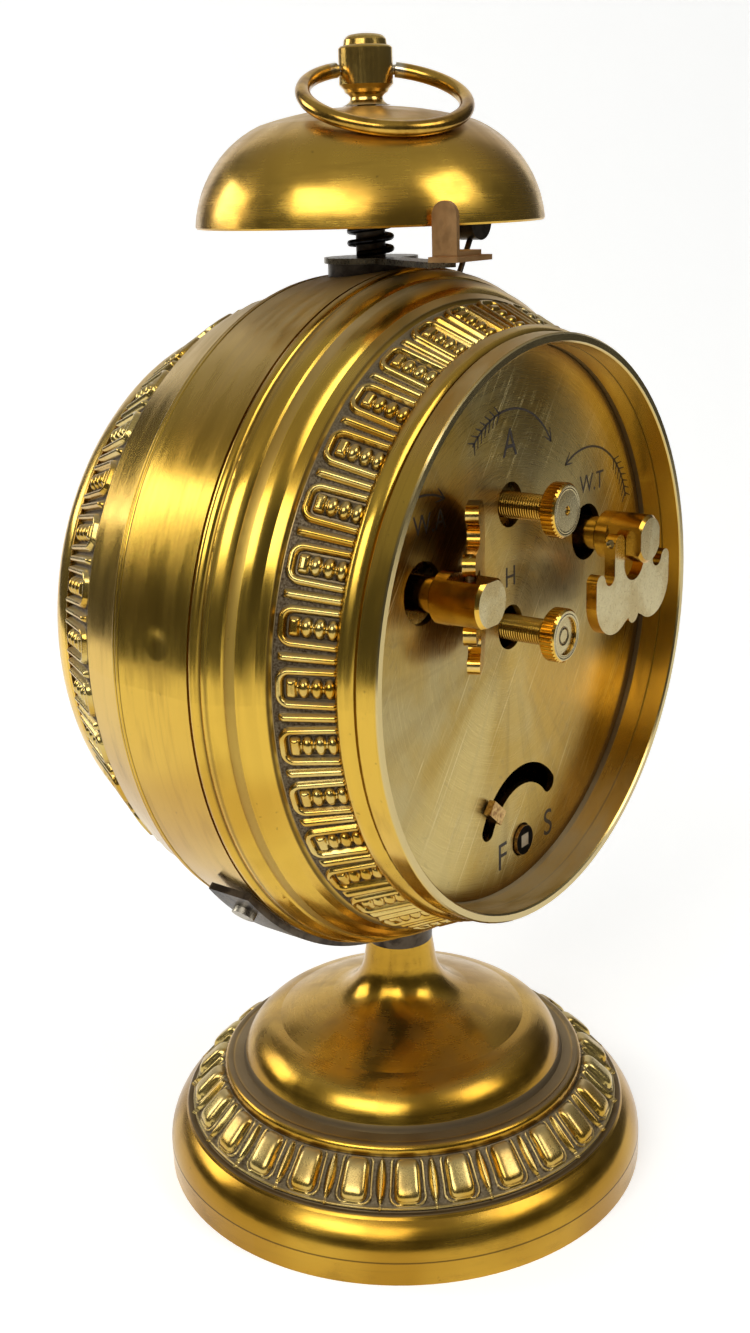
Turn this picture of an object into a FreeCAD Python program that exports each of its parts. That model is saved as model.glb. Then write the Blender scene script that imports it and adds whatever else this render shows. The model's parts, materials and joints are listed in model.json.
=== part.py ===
import FreeCAD, Part
import math
import operator
import os

import Sketcher
from FreeCAD import Placement, Rotation, Vector

# Pedestal alarm clock with a calendar hand.  +Z is up and the foot stands on z = 0 around the Z axis.
# The drum lies along Y: the dial looks towards -Y and the winding side towards +Y.

doc = FreeCAD.newDocument("PedestalAlarmClock")
sheet = doc.addObject("Spreadsheet::Sheet", "Dims")

SIZES = [
    # foot
    ("foot_radius", 45.0, "outer radius of the foot"),
    ("foot_rim_height", 4.3, "upright rim of the foot"),
    ("foot_band_radius", 41.3, "outer edge of the foot's ornament band"),
    ("foot_band_height", 11.1, "height of that edge"),
    ("foot_bead_radius", 33.1, "bead inside the ornament band"),
    ("foot_bead_height", 18.9, "height of that bead"),
    ("dome_radius", 29.9, "edge of the foot's dome"),
    ("dome_height", 21.0, "height of that edge"),
    ("shoulder_radius", 23.0, "end of the dome's round shoulder"),
    ("shoulder_height", 27.2, "height there"),
    ("flare_radius", 13.0, "start of the hollow sweep up to the neck"),
    ("flare_height", 31.0, "height there"),
    ("throat_radius", 6.7, "end of the hollow sweep"),
    ("throat_height", 38.5, "height there"),
    ("neck_radius", 6.1, "top of the neck"),
    ("neck_height", 42.6, "height of the neck"),
    ("foot_wall", 1.4, "thickness of the foot's metal"),
    ("foot_plate_thickness", 1.2, "cover under the foot"),
    ("stud_radius", 2.4, "stud that holds drum and foot together"),
    # drum
    ("drum_height", 106.1, "height of the drum's axis"),
    ("band_radius", 58.1, "rear edge of the plain middle band"),
    ("band_front_radius", 56.8, "front edge of the plain middle band"),
    ("band_rear", 5.7, "seam between middle band and rear casting"),
    ("band_front", -9.6, "seam between middle band and front casting"),
    ("case_wall", 1.5, "thickness of the drum's metal"),
    ("ornament_depth", 0.8, "depth of the recess that the ornament lies in"),
    ("rear_band_radius", 53.2, "larger edge of the rear ornament band"),
    ("rear_band_start", 16.7, "place of that edge"),
    ("rear_band_end_radius", 49.0, "smaller edge of the rear ornament band"),
    ("rear_band_end", 25.9, "place of that edge"),
    ("lip_radius", 48.4, "outside of the rear lip"),
    ("lip_start", 28.9, "groove between torus and lip"),
    ("lip_end", 32.8, "end of the drum at the back"),
    ("recess_radius", 46.8, "inside of the rear lip"),
    ("plate_face", 24.8, "outer face of the back plate"),
    ("plate_thickness", 1.2, "thickness of the back plate"),
    ("plate_clearance", 0.1, "gap round the back plate"),
    ("front_band_radius", 53.5, "larger edge of the front ornament band"),
    ("front_band_start", -19.7, "place of that edge"),
    ("front_band_end_radius", 48.4, "smaller edge of the front ornament band"),
    ("front_band_end", -30.0, "place of that edge, where the bezel starts"),
    ("bezel_front", -36.6, "front of the bezel"),
    ("bezel_radius", 43.1, "outer radius of the bezel's front"),
    ("bezel_opening", 40.5, "opening of the bezel"),
    ("glass_radius", 42.0, "radius of the glass"),
    ("glass_thickness", 1.2, "thickness of the glass"),
    ("glass_seat", -32.4, "inner face of the glass at its edge"),
    ("glass_rise", 2.4, "how far the glass bulges"),
    ("drum_motifs", 36.0, "frames round each ornament band of the drum"),
    ("motif_bearing", 3.0, "direction of one frame, from +X towards +Z"),
    ("frame_half_width", 2.35, "half of a frame's width, to the middle of its ridge"),
    ("frame_start", 1.35, "from the band's larger edge to the frame's end ridge"),
    ("frame_corner", 1.0, "slanted corner of a frame"),
    ("frame_line", 0.5, "width of a frame's ridge"),
    ("frame_relief", 0.65, "height of frames, beads and bars on the drum"),
    ("block_start", 2.93, "from the band's larger edge to the block inside a frame"),
    ("block_length", 0.84, "length of that block"),
    ("bead_radius", 0.6, "beads inside a frame"),
    ("bead_start", 4.95, "from the band's larger edge to the first bead"),
    ("bead_step", 1.9, "from one bead to the next"),
    ("bar_start", 1.65, "from the band's larger edge to the point of a bar"),
    ("bar_tip", 0.4, "length of a bar's point"),
    ("bar_half_width", 0.35, "half of the width of the bars between frames"),
    ("motif_overrun", 0.15, "how far frames and bars run under the band's smaller edge"),
    ("foot_tablets", 26.0, "tablets round the foot's ornament band"),
    ("tablet_bearing", 36.8, "direction of one tablet, from +X towards +Y"),
    ("tablet_half_width", 2.0, "half of a tablet's width at its outer end"),
    ("tablet_inner_half", 1.5, "half of its width at its inner end"),
    ("tablet_start", 2.35, "from the band's outer edge to a tablet"),
    ("tablet_length", 5.6, "length of a tablet"),
    ("tablet_relief", 0.8, "height of a tablet"),
    ("leaf_half_width", 0.3, "half of the width of the leaves between tablets"),
    ("leaf_relief", 0.4, "height of a leaf"),
    ("motif_root", 0.3, "how deep the cast ornament is rooted in its ground"),
    ("dial_radius", 44.0, "radius of the dial"),
    ("dial_thickness", 0.8, "thickness of the dial"),
    ("dial_face", -27.5, "front face of the dial"),
    ("dial_opening", 41.5, "opening behind the dial"),
    # saddle
    ("strap_thickness", 1.2, "saddle strap under the drum"),
    ("strap_front", -3.5, "front edge of the strap"),
    ("strap_rear", 5.0, "rear edge of the strap"),
    ("strap_half_angle", 52.0, "half of the arc that the strap covers"),
    ("strap_screw_angle", 46.4, "strap screws, from straight down"),
    ("strap_screw_radius", 2.0, "head of a strap screw"),
    # back plate
    ("key_across", 25.2, "winding arbors, to each side of the middle"),
    ("key_up", 11.4, "winding arbors, above the middle"),
    ("key_hole_radius", 5.0, "holes for the winding keys"),
    ("alarm_up", 20.7, "alarm setting arbor, above the middle"),
    ("alarm_hole_radius", 3.75, "hole for the alarm setting knob"),
    ("hand_hole_radius", 3.8, "hole for the hand setting knob"),
    ("balance_across", -3.3, "balance staff, sideways from the middle"),
    ("balance_up", -39.5, "balance staff, above the middle"),
    ("regulator_hole_radius", 3.0, "round hole over the balance staff"),
    ("slot_radius", 12.0, "middle of the regulator slot"),
    ("slot_width", 3.6, "width of the regulator slot"),
    ("slot_first", 24.0, "angle of the slot's fast end"),
    ("slot_last", 142.0, "angle of the slot's slow end"),
    ("regulator_angle", 41.0, "angle at which the regulator stands"),
    # knobs and keys
    ("knob_radius", 4.5, "knurled setting knobs"),
    ("knob_face", 35.5, "outer face of the setting knobs"),
    ("knob_thickness", 2.8, "thickness of the knobs' heads"),
    ("knob_shank_radius", 2.2, "shank of a knob"),
    ("knob_chamfer", 0.4, "chamfer of a knob's edges"),
    ("knob_dish", 0.5, "how far the middle of a knob's face is sunk"),
    ("arbor_sink", 2.0, "how deep a setting arbor ends behind its knob's face"),
    ("edge_ease", 0.3, "small chamfers of turned edges"),
    ("arbor_radius", 1.2, "setting arbors"),
    ("barrel_radius", 4.2, "thick part of a winding key's barrel"),
    ("barrel_neck_radius", 2.9, "thin part of a winding key's barrel"),
    ("barrel_step", 28.4, "place of the step on the barrel"),
    ("barrel_end", 37.4, "outer end of the barrel"),
    ("barrel_flat", 3.4, "half of the width across the barrel's flats"),
    ("key_pin_place", 33.4, "place of the hinge pin along the barrel"),
    ("key_pin_radius", 0.7, "hinge pin of a winding key"),
    ("bow_thickness", 2.0, "thickness of a key's bow"),
    ("bow_half_width", 13.3, "half of the width of a key's bow"),
    ("bow_drop", 15.5, "from the hinge pin to the end of the bow"),
    ("bow_leg_inner", 3.6, "inner edge of a bow's leg"),
    ("bow_leg_outer", 7.0, "outer edge of a bow's leg"),
    ("bow_lean", 28.0, "how far the folded alarm key leans to the plate"),
    ("bow_gap", 0.3, "running gap beside the barrel"),
    # movement
    ("front_plate_place", -14.0, "front face of the movement's front plate"),
    ("rear_plate_place", 13.5, "front face of the movement's rear plate"),
    ("movement_plate", 1.5, "thickness of the movement's plates"),
    ("movement_radius", 44.0, "radius of the movement's plates"),
    ("pillar_radius", 2.0, "movement pillars"),
    ("pillar_ring", 40.0, "circle that the pillars stand on"),
    ("winding_arbor_radius", 2.2, "arbors that the keys turn"),
    ("running_gap", 0.05, "running clearance of arbors in plates"),
    ("great_module", 0.6586, "module of the great wheels"),
    ("great_teeth", 72.0, "teeth of a great wheel"),
    ("centre_leaves", 12.0, "leaves of the centre pinion"),
    ("centre_module", 0.5, "module of the centre wheel"),
    ("centre_teeth", 60.0, "teeth of the centre wheel"),
    ("third_leaves", 8.0, "leaves of the third pinion"),
    ("third_module", 0.45, "module of the third wheel"),
    ("third_teeth", 56.0, "teeth of the third wheel"),
    ("fourth_leaves", 7.0, "leaves of the fourth pinion"),
    ("fourth_module", 0.4, "module of the fourth wheel"),
    ("fourth_teeth", 50.0, "teeth of the fourth wheel"),
    ("escape_leaves", 7.0, "leaves of the escape pinion"),
    ("escape_radius", 6.0, "radius of the escape wheel"),
    ("escape_teeth", 15.0, "teeth of the escape wheel"),
    ("alarm_leaves", 10.0, "leaves of the alarm pinion"),
    ("alarm_scape_radius", 6.5, "radius of the alarm's scape wheel"),
    ("third_bearing", -45.0, "direction from centre to third arbor"),
    ("fourth_bearing", -124.4, "direction from third to fourth arbor"),
    ("escape_bearing", 190.0, "direction from fourth to escape arbor"),
    ("alarm_bearing", 138.0, "direction from alarm winding to alarm scape arbor"),
    ("train_arbor_radius", 0.8, "thin arbors of the trains"),
    ("cannon_leaves", 12.0, "leaves of the cannon pinion"),
    ("minute_teeth", 36.0, "teeth of the minute wheel"),
    ("minute_leaves", 10.0, "leaves of the minute wheel's pinion"),
    ("hour_teeth", 40.0, "teeth of the hour wheel"),
    ("motion_distance", 12.0, "from the middle to the minute wheel's post"),
    ("date_teeth", 31.0, "teeth of the date wheel"),
    ("date_wheel_radius", 8.0, "radius of the date wheel"),
    ("barrel_cup_radius", 11.6, "outside of a mainspring's barrel"),
    ("mainspring_radius", 10.4, "outside of a mainspring"),
    ("mainspring_turns", 7.0, "turns of a mainspring"),
    ("mainspring_strip", 0.4, "thickness of a mainspring's strip"),
    ("mainspring_width", 9.0, "width of a mainspring's strip"),
    ("time_great_place", -1.0, "front face of the time train's great wheel"),
    ("alarm_great_place", 4.5, "front face of the alarm's great wheel"),
    ("great_width", 2.0, "width of a great wheel"),
    ("wheel_width", 1.0, "width of the other wheels"),
    ("leaves_width", 3.0, "width of the pinions"),
    ("centre_leaves_place", -2.0, "front face of the centre pinion"),
    ("centre_wheel_place", -5.0, "front face of the centre wheel"),
    ("third_leaves_place", -6.0, "front face of the third pinion"),
    ("third_wheel_place", 9.0, "front face of the third wheel"),
    ("fourth_leaves_place", 8.0, "front face of the fourth pinion"),
    ("fourth_wheel_place", -10.0, "front face of the fourth wheel"),
    ("escape_leaves_place", -11.0, "front face of the escape pinion"),
    ("escape_wheel_place", 4.0, "front face of the escape wheel and the pallets"),
    ("alarm_leaves_place", 4.0, "front face of the alarm's scape pinion"),
    ("alarm_leaves_width", 3.5, "width of that pinion"),
    ("alarm_wheel_place", 9.0, "front face of the alarm's scape wheel"),
    ("balance_width", 1.2, "width of the balance and of the alarm's scape wheel"),
    ("fine_arbor_radius", 0.6, "arbors of escape wheel, lever and balance"),
    ("lever_end", 6.0, "rear end of the lever's arbor"),
    ("lever_distance", 8.6, "from the escape wheel's arbor to the lever's"),
    ("lever_boss_radius", 1.7, "boss on the front plate that carries the lever's arbor"),
    ("ratchet_place", 8.0, "front face of the ratchets"),
    ("ratchet_width", 1.2, "width of a ratchet"),
    ("ratchet_teeth", 24.0, "teeth of a ratchet"),
    ("ratchet_module", 0.5, "module of a ratchet"),
    ("cannon_place", -18.5, "front face of the cannon pinion"),
    ("minute_wheel_place", -17.5, "front face of the minute wheel"),
    ("minute_leaves_place", -21.0, "front face of the minute wheel's pinion"),
    ("minute_post_radius", 0.85, "post that the minute wheel turns on"),
    ("minute_bore_radius", 0.9, "bore of the minute wheel"),
    ("minute_post_end", -21.5, "front end of that post"),
    ("hour_wheel_place", -20.5, "front face of the hour wheel"),
    ("date_wheel_place", -24.0, "front face of the date wheel"),
    ("pipe_wall", 0.5, "thickness of the hour and date pipes"),
    ("balance_radius", 10.0, "radius of the balance wheel"),
    ("balance_rim", 1.6, "width of the balance's rim, and radius of its hub"),
    ("balance_place", 7.0, "front face of the balance"),
    ("spoke_half_width", 0.7, "half of the width of the balance's spokes"),
    ("hairspring_radius", 4.6, "outside of the hairspring"),
    ("hairspring_start", 1.2, "inner end of the hairspring, from the staff's middle"),
    ("hairspring_step", 0.6, "distance between the turns of the hairspring"),
    ("hairspring_strip", 0.16, "thickness of the hairspring's strip"),
    ("hairspring_width", 0.6, "width of that strip"),
    ("hairspring_place", 10.6, "front edge of the hairspring"),
    ("minute_hand_length", 32.0, "minute hand"),
    ("hour_hand_length", 22.0, "hour hand"),
    ("date_hand_length", 38.5, "calendar hand"),
    ("alarm_hand_length", 7.0, "alarm hand"),
    # bell and handle
    ("bell_place", -2.0, "bell axis, along the drum"),
    ("bell_radius", 28.6, "rim of the bell"),
    ("bell_rim_height", 171.1, "height of the bell's rim"),
    ("bell_crown_bend", 59.5, "radius of the crown's curve"),
    ("bell_shoulder_radius", 17.4, "where the crown meets the shoulder"),
    ("bell_shoulder_rise", 15.7, "rise from the rim to that place"),
    ("bell_shoulder_bend", 18.4, "radius of the shoulder's curve"),
    ("bell_apex_rise", 18.3, "rise from the rim to the top"),
    ("bell_wall", 1.1, "thickness of the bell"),
    ("post_radius", 2.45, "bell post"),
    ("post_end_radius", 1.5, "threaded end of the post, in bell and finial"),
    ("collar_radius", 7.2, "dark collar on top of the drum"),
    ("collar_top", 165.0, "top of that collar"),
    ("coil_radius", 3.4, "bell spring, to the middle of its wire"),
    ("coil_wire_radius", 0.5, "wire of the bell spring"),
    ("coil_pitch", 1.9, "pitch of the bell spring"),
    ("finial_radius", 4.35, "barrel of the finial"),
    ("finial_bottom", 191.9, "bottom of the finial's barrel"),
    ("finial_top", 198.4, "top of the finial's barrel"),
    ("cap_radius", 3.4, "stepped cap of the finial"),
    ("cap_top", 200.3, "top of the finial"),
    ("finial_neck_radius", 2.6, "waist under the finial's barrel"),
    ("ring_axis_height", 194.8, "axis that the ring handle swings on"),
    ("ring_radius", 12.75, "ring handle, to the middle of its wire"),
    ("ring_wire_radius", 1.2, "wire of the ring handle"),
    ("ring_bearing", 52.2, "direction in which the ring lies"),
    ("ring_droop", 23.5, "how far the ring hangs below level"),
    # stop lever and hammer
    ("stop_bearing", 58.5, "direction of the stop lever"),
    ("stop_hub_radius", 7.8, "round end of the stop lever"),
    ("stop_thickness", 0.9, "thickness of the stop lever"),
    ("stop_width", 4.6, "width of the stop lever's arm"),
    ("stop_reach", 28.5, "length of the stop lever's arm"),
    ("tab_across", 17.0, "face of the finger tab, along X"),
    ("tab_along", 24.2, "middle of the finger tab, along Y"),
    ("tab_width", 4.4, "width of the finger tab"),
    ("tab_thickness", 0.8, "copper of tab and plate"),
    ("tab_height", 8.0, "height of the finger tab"),
    ("tab_foot", 6.6, "foot of the finger tab"),
    ("hammer_arbor_across", -7.5, "hammer arbor, sideways from the middle"),
    ("hammer_arbor_up", 36.5, "hammer arbor, above the middle"),
    ("hammer_exit_across", -18.0, "where the hammer wire leaves the drum"),
    ("hammer_exit_up", 55.0, "height of that place above the middle"),
    ("hammer_head_across", -22.8, "hammer head, sideways"),
    ("hammer_head_up", 64.6, "hammer head, above the middle"),
    ("hammer_place", 3.0, "plane of the hammer, along the drum"),
    ("hammer_wire_radius", 0.5, "wire of the hammer"),
    ("hammer_head_radius", 3.2, "hammer head"),
    ("hammer_head_length", 4.0, "length of the hammer head"),
    ("fit_gap", 0.3, "gap between pieces that only pass each other"),
]


class Size:
    """A number together with the spreadsheet expression that gives it."""

    def __init__(self, value, text):
        self.value = value
        self.text = text

    def __add__(self, other):
        return combined(self, "+", other)

    def __radd__(self, other):
        return combined(other, "+", self)

    def __sub__(self, other):
        return combined(self, "-", other)

    def __rsub__(self, other):
        return combined(other, "-", self)

    def __mul__(self, other):
        return combined(self, "*", other)

    def __rmul__(self, other):
        return combined(other, "*", self)

    def __truediv__(self, other):
        return combined(self, "/", other)

    def __rtruediv__(self, other):
        return combined(other, "/", self)

    def __neg__(self):
        return combined(0.0, "-", self)


SIGNS = {"+": operator.add, "-": operator.sub, "*": operator.mul, "/": operator.truediv}


def as_size(item):
    if isinstance(item, Size):
        return item
    return Size(float(item), "(%r)" % float(item))


def combined(left, sign, right):
    first = as_size(left)
    second = as_size(right)
    value = SIGNS[sign](first.value, second.value)
    return Size(value, "(%s %s %s)" % (first.text, sign, second.text))


def cosine(angle):
    angle = as_size(angle)
    return Size(math.cos(math.radians(angle.value)), "cos(%s)" % angle.text)


def sine(angle):
    angle = as_size(angle)
    return Size(math.sin(math.radians(angle.value)), "sin(%s)" % angle.text)


class Dimensions:
    """The driving dimensions, read as attributes, such as d.foot_radius."""


def fill_sheet():
    dims = Dimensions()
    for row, (alias, value, note) in enumerate(SIZES, start=1):
        cell = "B%d" % row
        sheet.set("A%d" % row, alias)
        sheet.set(cell, str(value))
        sheet.set("C%d" % row, note)
        sheet.setAlias(cell, alias)
        setattr(dims, alias, Size(value, "Dims." + alias))
    doc.recompute()
    return dims


d = fill_sheet()


# ---------------------------------------------------------------- tools for bodies and sketches

def bind(item, prop, size):
    if isinstance(size, Size):
        item.setExpression(prop, size.text)
    else:
        setattr(item, prop, size)


def put(item, x=0.0, y=0.0, z=0.0, axis=None, angle=0.0):
    """Places an object, with each coordinate tied to its size."""
    spots = [as_size(x), as_size(y), as_size(z)]
    turn = Rotation(axis, as_size(angle).value) if axis else Rotation()
    item.Placement = Placement(Vector(*[spot.value for spot in spots]), turn)
    for letter, spot in zip("xyz", spots):
        if "Dims." in spot.text:
            item.setExpression("Placement.Base." + letter, spot.text)
    return item


def new_body(name):
    body = doc.addObject("PartDesign::Body", name)
    body.Label = name
    return body


def origin_feature(body, role):
    return [item for item in body.Origin.OriginFeatures if item.Role == role][0]


def new_sketch(body, role, offset=0.0, turn=0.0):
    """Sketch on one of the body's own planes, moved along the plane's normal."""
    sketch = body.newObject("Sketcher::SketchObject", body.Name + "_outline")
    sketch.AttachmentSupport = [(origin_feature(body, role), "")]
    sketch.MapMode = "FlatFace"
    shift = as_size(offset)
    turned = Rotation(Vector(0, 0, 1), as_size(turn).value)
    sketch.AttachmentOffset = Placement(Vector(0, 0, shift.value), turned)
    if "Dims." in shift.text:
        sketch.setExpression("AttachmentOffset.Base.z", shift.text)
    return sketch


def fix(sketch, kind, value, *where):
    """Adds a dimension to a sketch and ties it to its size."""
    size = as_size(value)
    index = sketch.addConstraint(Sketcher.Constraint(kind, *where, size.value))
    if "Dims." in size.text:
        sketch.setExpression("Constraints[%d]" % index, size.text)


def fix_point(sketch, curve, end, x, y):
    """Fixes one point of a curve: a plain 0 means that it lies on the axis."""
    if isinstance(x, (int, float)) and x == 0:
        sketch.addConstraint(Sketcher.Constraint("PointOnObject", curve, end, -2))
    else:
        fix(sketch, "DistanceX", x, -1, 1, curve, end)
    if isinstance(y, (int, float)) and y == 0:
        sketch.addConstraint(Sketcher.Constraint("PointOnObject", curve, end, -1))
    else:
        fix(sketch, "DistanceY", y, -1, 1, curve, end)


def arc_between(start, end, bend):
    """Arc of radius |bend|: it turns left for a positive bend, right for a negative one."""
    chord = end - start
    middle = (start + end) * 0.5
    side = 1.0 if bend > 0 else -1.0
    radius = max(abs(bend), chord.Length * 0.5001)
    height = math.sqrt(radius ** 2 - (chord.Length / 2) ** 2)
    left = Vector(-chord.y, chord.x, 0).normalize()
    centre = middle + left * height * side
    first, last = (start, end) if bend > 0 else (end, start)
    angles = [math.atan2(p.y - centre.y, p.x - centre.x) for p in (first, last)]
    return Part.ArcOfCircle(Part.Circle(centre, Vector(0, 0, 1), radius), *angles)


def dome_bend(radius, rise):
    """Radius of the sphere whose cap has this radius and this rise."""
    return (radius * radius + rise * rise) / (rise * 2)


def loop(sketch, points):
    """Closed outline through (x, y) or (x, y, bend), where bend curves the stretch that follows."""
    spots = [Vector(as_size(p[0]).value, as_size(p[1]).value, 0) for p in points]
    curves = []
    for number, point in enumerate(points):
        start = spots[number]
        end = spots[(number + 1) % len(points)]
        if len(point) == 3:
            bend = as_size(point[2])
            curve = sketch.addGeometry(arc_between(start, end, bend.value))
            ends = (1, 2) if bend.value > 0 else (2, 1)
            fix(sketch, "Radius", bend if bend.value > 0 else -bend, curve)
        else:
            curve = sketch.addGeometry(Part.LineSegment(start, end))
            ends = (1, 2)
        curves.append((curve, ends))
    for number, (curve, ends) in enumerate(curves):
        follower, follower_ends = curves[(number + 1) % len(curves)]
        joint = Sketcher.Constraint("Coincident", curve, ends[1], follower, follower_ends[0])
        sketch.addConstraint(joint)
    for (curve, ends), point in zip(curves, points):
        fix_point(sketch, curve, ends[0], point[0], point[1])


def rectangle(sketch, start, end, half):
    loop(sketch, [(start, -half), (end, -half), (end, half), (start, half)])


def ring(sketch, radius, x=0, y=0):
    size = as_size(radius)
    centre = Vector(as_size(x).value, as_size(y).value, 0)
    curve = sketch.addGeometry(Part.Circle(centre, Vector(0, 0, 1), size.value))
    fix(sketch, "Radius", radius, curve)
    fix_point(sketch, curve, 3, x, y)


def turned(name, role, points, **place):
    """Body of revolution: points are (radius, along the axis)."""
    body = new_body(name)
    sketch = new_sketch(body, role)
    loop(sketch, points)
    feature = body.newObject("PartDesign::Revolution", name + "_turned")
    feature.Profile = sketch
    feature.ReferenceAxis = (sketch, ["V_Axis"])
    feature.Angle = 360.0
    sketch.Visibility = False
    return put(body, **place)


def cast_motifs(body, role, start, end, bearing, count, draw, height):
    """Raised motifs round a cone from start to end: draw() outlines one, along the cone and across."""
    first = Vector(start[0].value, start[1].value, 0)
    along = Vector(end[0].value, end[1].value, 0) - first
    along.normalize()
    across = Vector(0, 0, 1 if along.y > 0 else -1)
    outward = along.cross(across)
    sketch = body.newObject("Sketcher::SketchObject", body.Name + "_motif")
    sketch.AttachmentSupport = [(origin_feature(body, role), "")]
    sketch.MapMode = "FlatFace"
    on_cone = Placement(first - outward * d.motif_root.value, Rotation(along, across, outward, "XZY"))
    sketch.AttachmentOffset = Placement(Vector(0, 0, 0), Rotation(Vector(0, 1, 0), bearing)) * on_cone
    draw(sketch)
    pad = body.newObject("PartDesign::Pad", body.Name + "_motif_pad")
    pad.Profile = sketch
    bind(pad, "Length", height + d.motif_root)
    pattern = body.newObject("PartDesign::PolarPattern", body.Name + "_motifs")
    pattern.Originals = [pad]
    pattern.Axis = (origin_feature(body, "Y_Axis" if role == "XY_Plane" else "Z_Axis"), [""])
    pattern.Angle = 360
    pattern.Occurrences = int(count.value)
    body.Tip = pattern
    pattern.setExpression("Occurrences", count.text)


def pad_between(body, draw, first, last, turn=0.0):
    """Pad along Y from first to last, with its outline drawn in X and Z."""
    sketch = new_sketch(body, "XZ_Plane", -as_size(last), turn)
    draw(sketch)
    pad = body.newObject("PartDesign::Pad", body.Name + "_pad")
    pad.Profile = sketch
    bind(pad, "Length", as_size(last) - first)
    return pad


def cut_between(body, draw, first, last):
    """Pocket along Y from last back to first."""
    sketch = new_sketch(body, "XZ_Plane", -as_size(last))
    draw(sketch)
    pocket = body.newObject("PartDesign::Pocket", body.Name + "_cut")
    pocket.Profile = sketch
    pocket.Reversed = True
    bind(pocket, "Length", as_size(last) - first)
    return pocket


def cylinder(name, radius, height, x=0.0, y=0.0, z=0.0, axis=None, angle=0.0):
    item = doc.addObject("Part::Cylinder", name)
    bind(item, "Radius", radius)
    bind(item, "Height", height)
    return put(item, x, y, z, axis, angle)


def along_y(name, radius, first, last, x=0.0, z=0.0):
    """Cylinder along Y from first to last."""
    return cylinder(name, radius, as_size(last) - first, x, last, z, Vector(1, 0, 0), 90)


def tube_y(name, outer, inner, first, last, x, z):
    """Tube along Y from first to last."""
    solid = along_y(name + "_outside", outer, first, last, x, z)
    hollow = along_y(name + "_inside", inner, as_size(first) - 1, as_size(last) + 1, x, z)
    return cut(name, solid, hollow)


def box(name, length, width, height, x=0.0, y=0.0, z=0.0):
    item = doc.addObject("Part::Box", name)
    bind(item, "Length", length)
    bind(item, "Width", width)
    bind(item, "Height", height)
    return put(item, x, y, z)


def joined(name, items):
    item = doc.addObject("Part::MultiFuse", name)
    item.Shapes = items
    return item


def grouped(name, items):
    """Separate solids of one kind that share a node."""
    item = doc.addObject("Part::Compound", name)
    item.Links = items
    return item


def cut(name, base, tool):
    item = doc.addObject("Part::Cut", name)
    item.Base = base
    item.Tool = tool
    return item


# ---------------------------------------------------------------- foot

def make_foot():
    d_wall = d.foot_wall
    band_x = d.foot_band_radius
    band_z = d.foot_band_height
    inner = d.foot_radius - d_wall
    floor_start = (band_x - d.ornament_depth, band_z - 0.1)
    floor_end = (d.foot_bead_radius + 0.9, d.foot_bead_height - 1.6)
    shell = turned("foot_shell", "XZ_Plane", [
        (inner, 0),
        (d.foot_radius, 0),
        (d.foot_radius, d.foot_rim_height, 9.0),
        (band_x + 0.5, band_z - 0.7),
        (band_x, band_z),
        floor_start,
        floor_end,
        (d.foot_bead_radius + 0.9, d.foot_bead_height - 0.7, 1.15),
        (d.foot_bead_radius - 0.8, d.foot_bead_height + 0.4),
        (d.dome_radius + 0.5, d.dome_height - 1.3),
        (d.dome_radius, d.dome_height, 9.0),
        (d.shoulder_radius, d.shoulder_height, 45.0),
        (d.flare_radius, d.flare_height, -9.0),
        (d.throat_radius, d.throat_height),
        (d.neck_radius, d.neck_height),
        (d.stud_radius + d.running_gap, d.neck_height),
        (d.stud_radius + d.running_gap, d.throat_height),
        (d.throat_radius - d_wall, d.throat_height - 0.17, d_wall + 9.0),
        (d.flare_radius - 0.41, d.flare_height - d_wall),
        (d.shoulder_radius - 0.6, d.shoulder_height - d_wall),
        (d.dome_radius - d_wall, d.dome_height - 1.0),
        (d.foot_bead_radius - 0.6, d.foot_bead_height - 3.4),
        (band_x - d_wall - 0.4, band_z - 2.0),
        (inner, d.foot_rim_height - 1.0),
    ])

    def tablet(sketch):
        start = d.tablet_start
        end = start + d.tablet_length
        wide = d.tablet_half_width
        narrow = d.tablet_inner_half
        loop(sketch, [(start, -wide), (end, -narrow), (end, narrow), (start, wide)])

    def leaf(sketch):
        start = d.tablet_start
        rectangle(sketch, start, start + d.tablet_length, d.leaf_half_width)

    half_step = 180.0 / d.foot_tablets.value
    for turn, draw, relief in ((0.0, tablet, d.tablet_relief), (half_step, leaf, d.leaf_relief)):
        cast_motifs(shell, "XZ_Plane", floor_start, floor_end, d.tablet_bearing.value + turn,
                    d.foot_tablets, draw, relief)

    turned("foot_plate", "XZ_Plane", [
        (d.stud_radius + d.running_gap, 0.3),
        (inner - d.plate_clearance, 0.3),
        (inner - d.plate_clearance, 0.3 + d.foot_plate_thickness),
        (d.stud_radius + d.running_gap, 0.3 + d.foot_plate_thickness),
    ])
    plate_top = 0.3 + d.foot_plate_thickness
    strap_bottom = d.drum_height - d.band_radius - d.strap_thickness
    turned("foot_stud", "XZ_Plane", [
        (0, plate_top - 1.0),
        (d.stud_radius, plate_top - 1.0),
        (d.stud_radius, plate_top),
        (d.stud_radius + 2.6, plate_top),
        (d.stud_radius + 2.6, plate_top + 2.5),
        (d.stud_radius, plate_top + 2.5),
        (d.stud_radius, strap_bottom + d.strap_thickness * 0.9),
        (0, strap_bottom + d.strap_thickness * 0.9),
    ])
    turned("neck_collar", "XZ_Plane", [
        (d.stud_radius + d.running_gap, d.neck_height),
        (d.neck_radius, d.neck_height),
        (d.neck_radius + 0.2, strap_bottom - 0.4),
        (d.neck_radius - 0.2, strap_bottom),
        (d.stud_radius + d.running_gap, strap_bottom),
    ])


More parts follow.
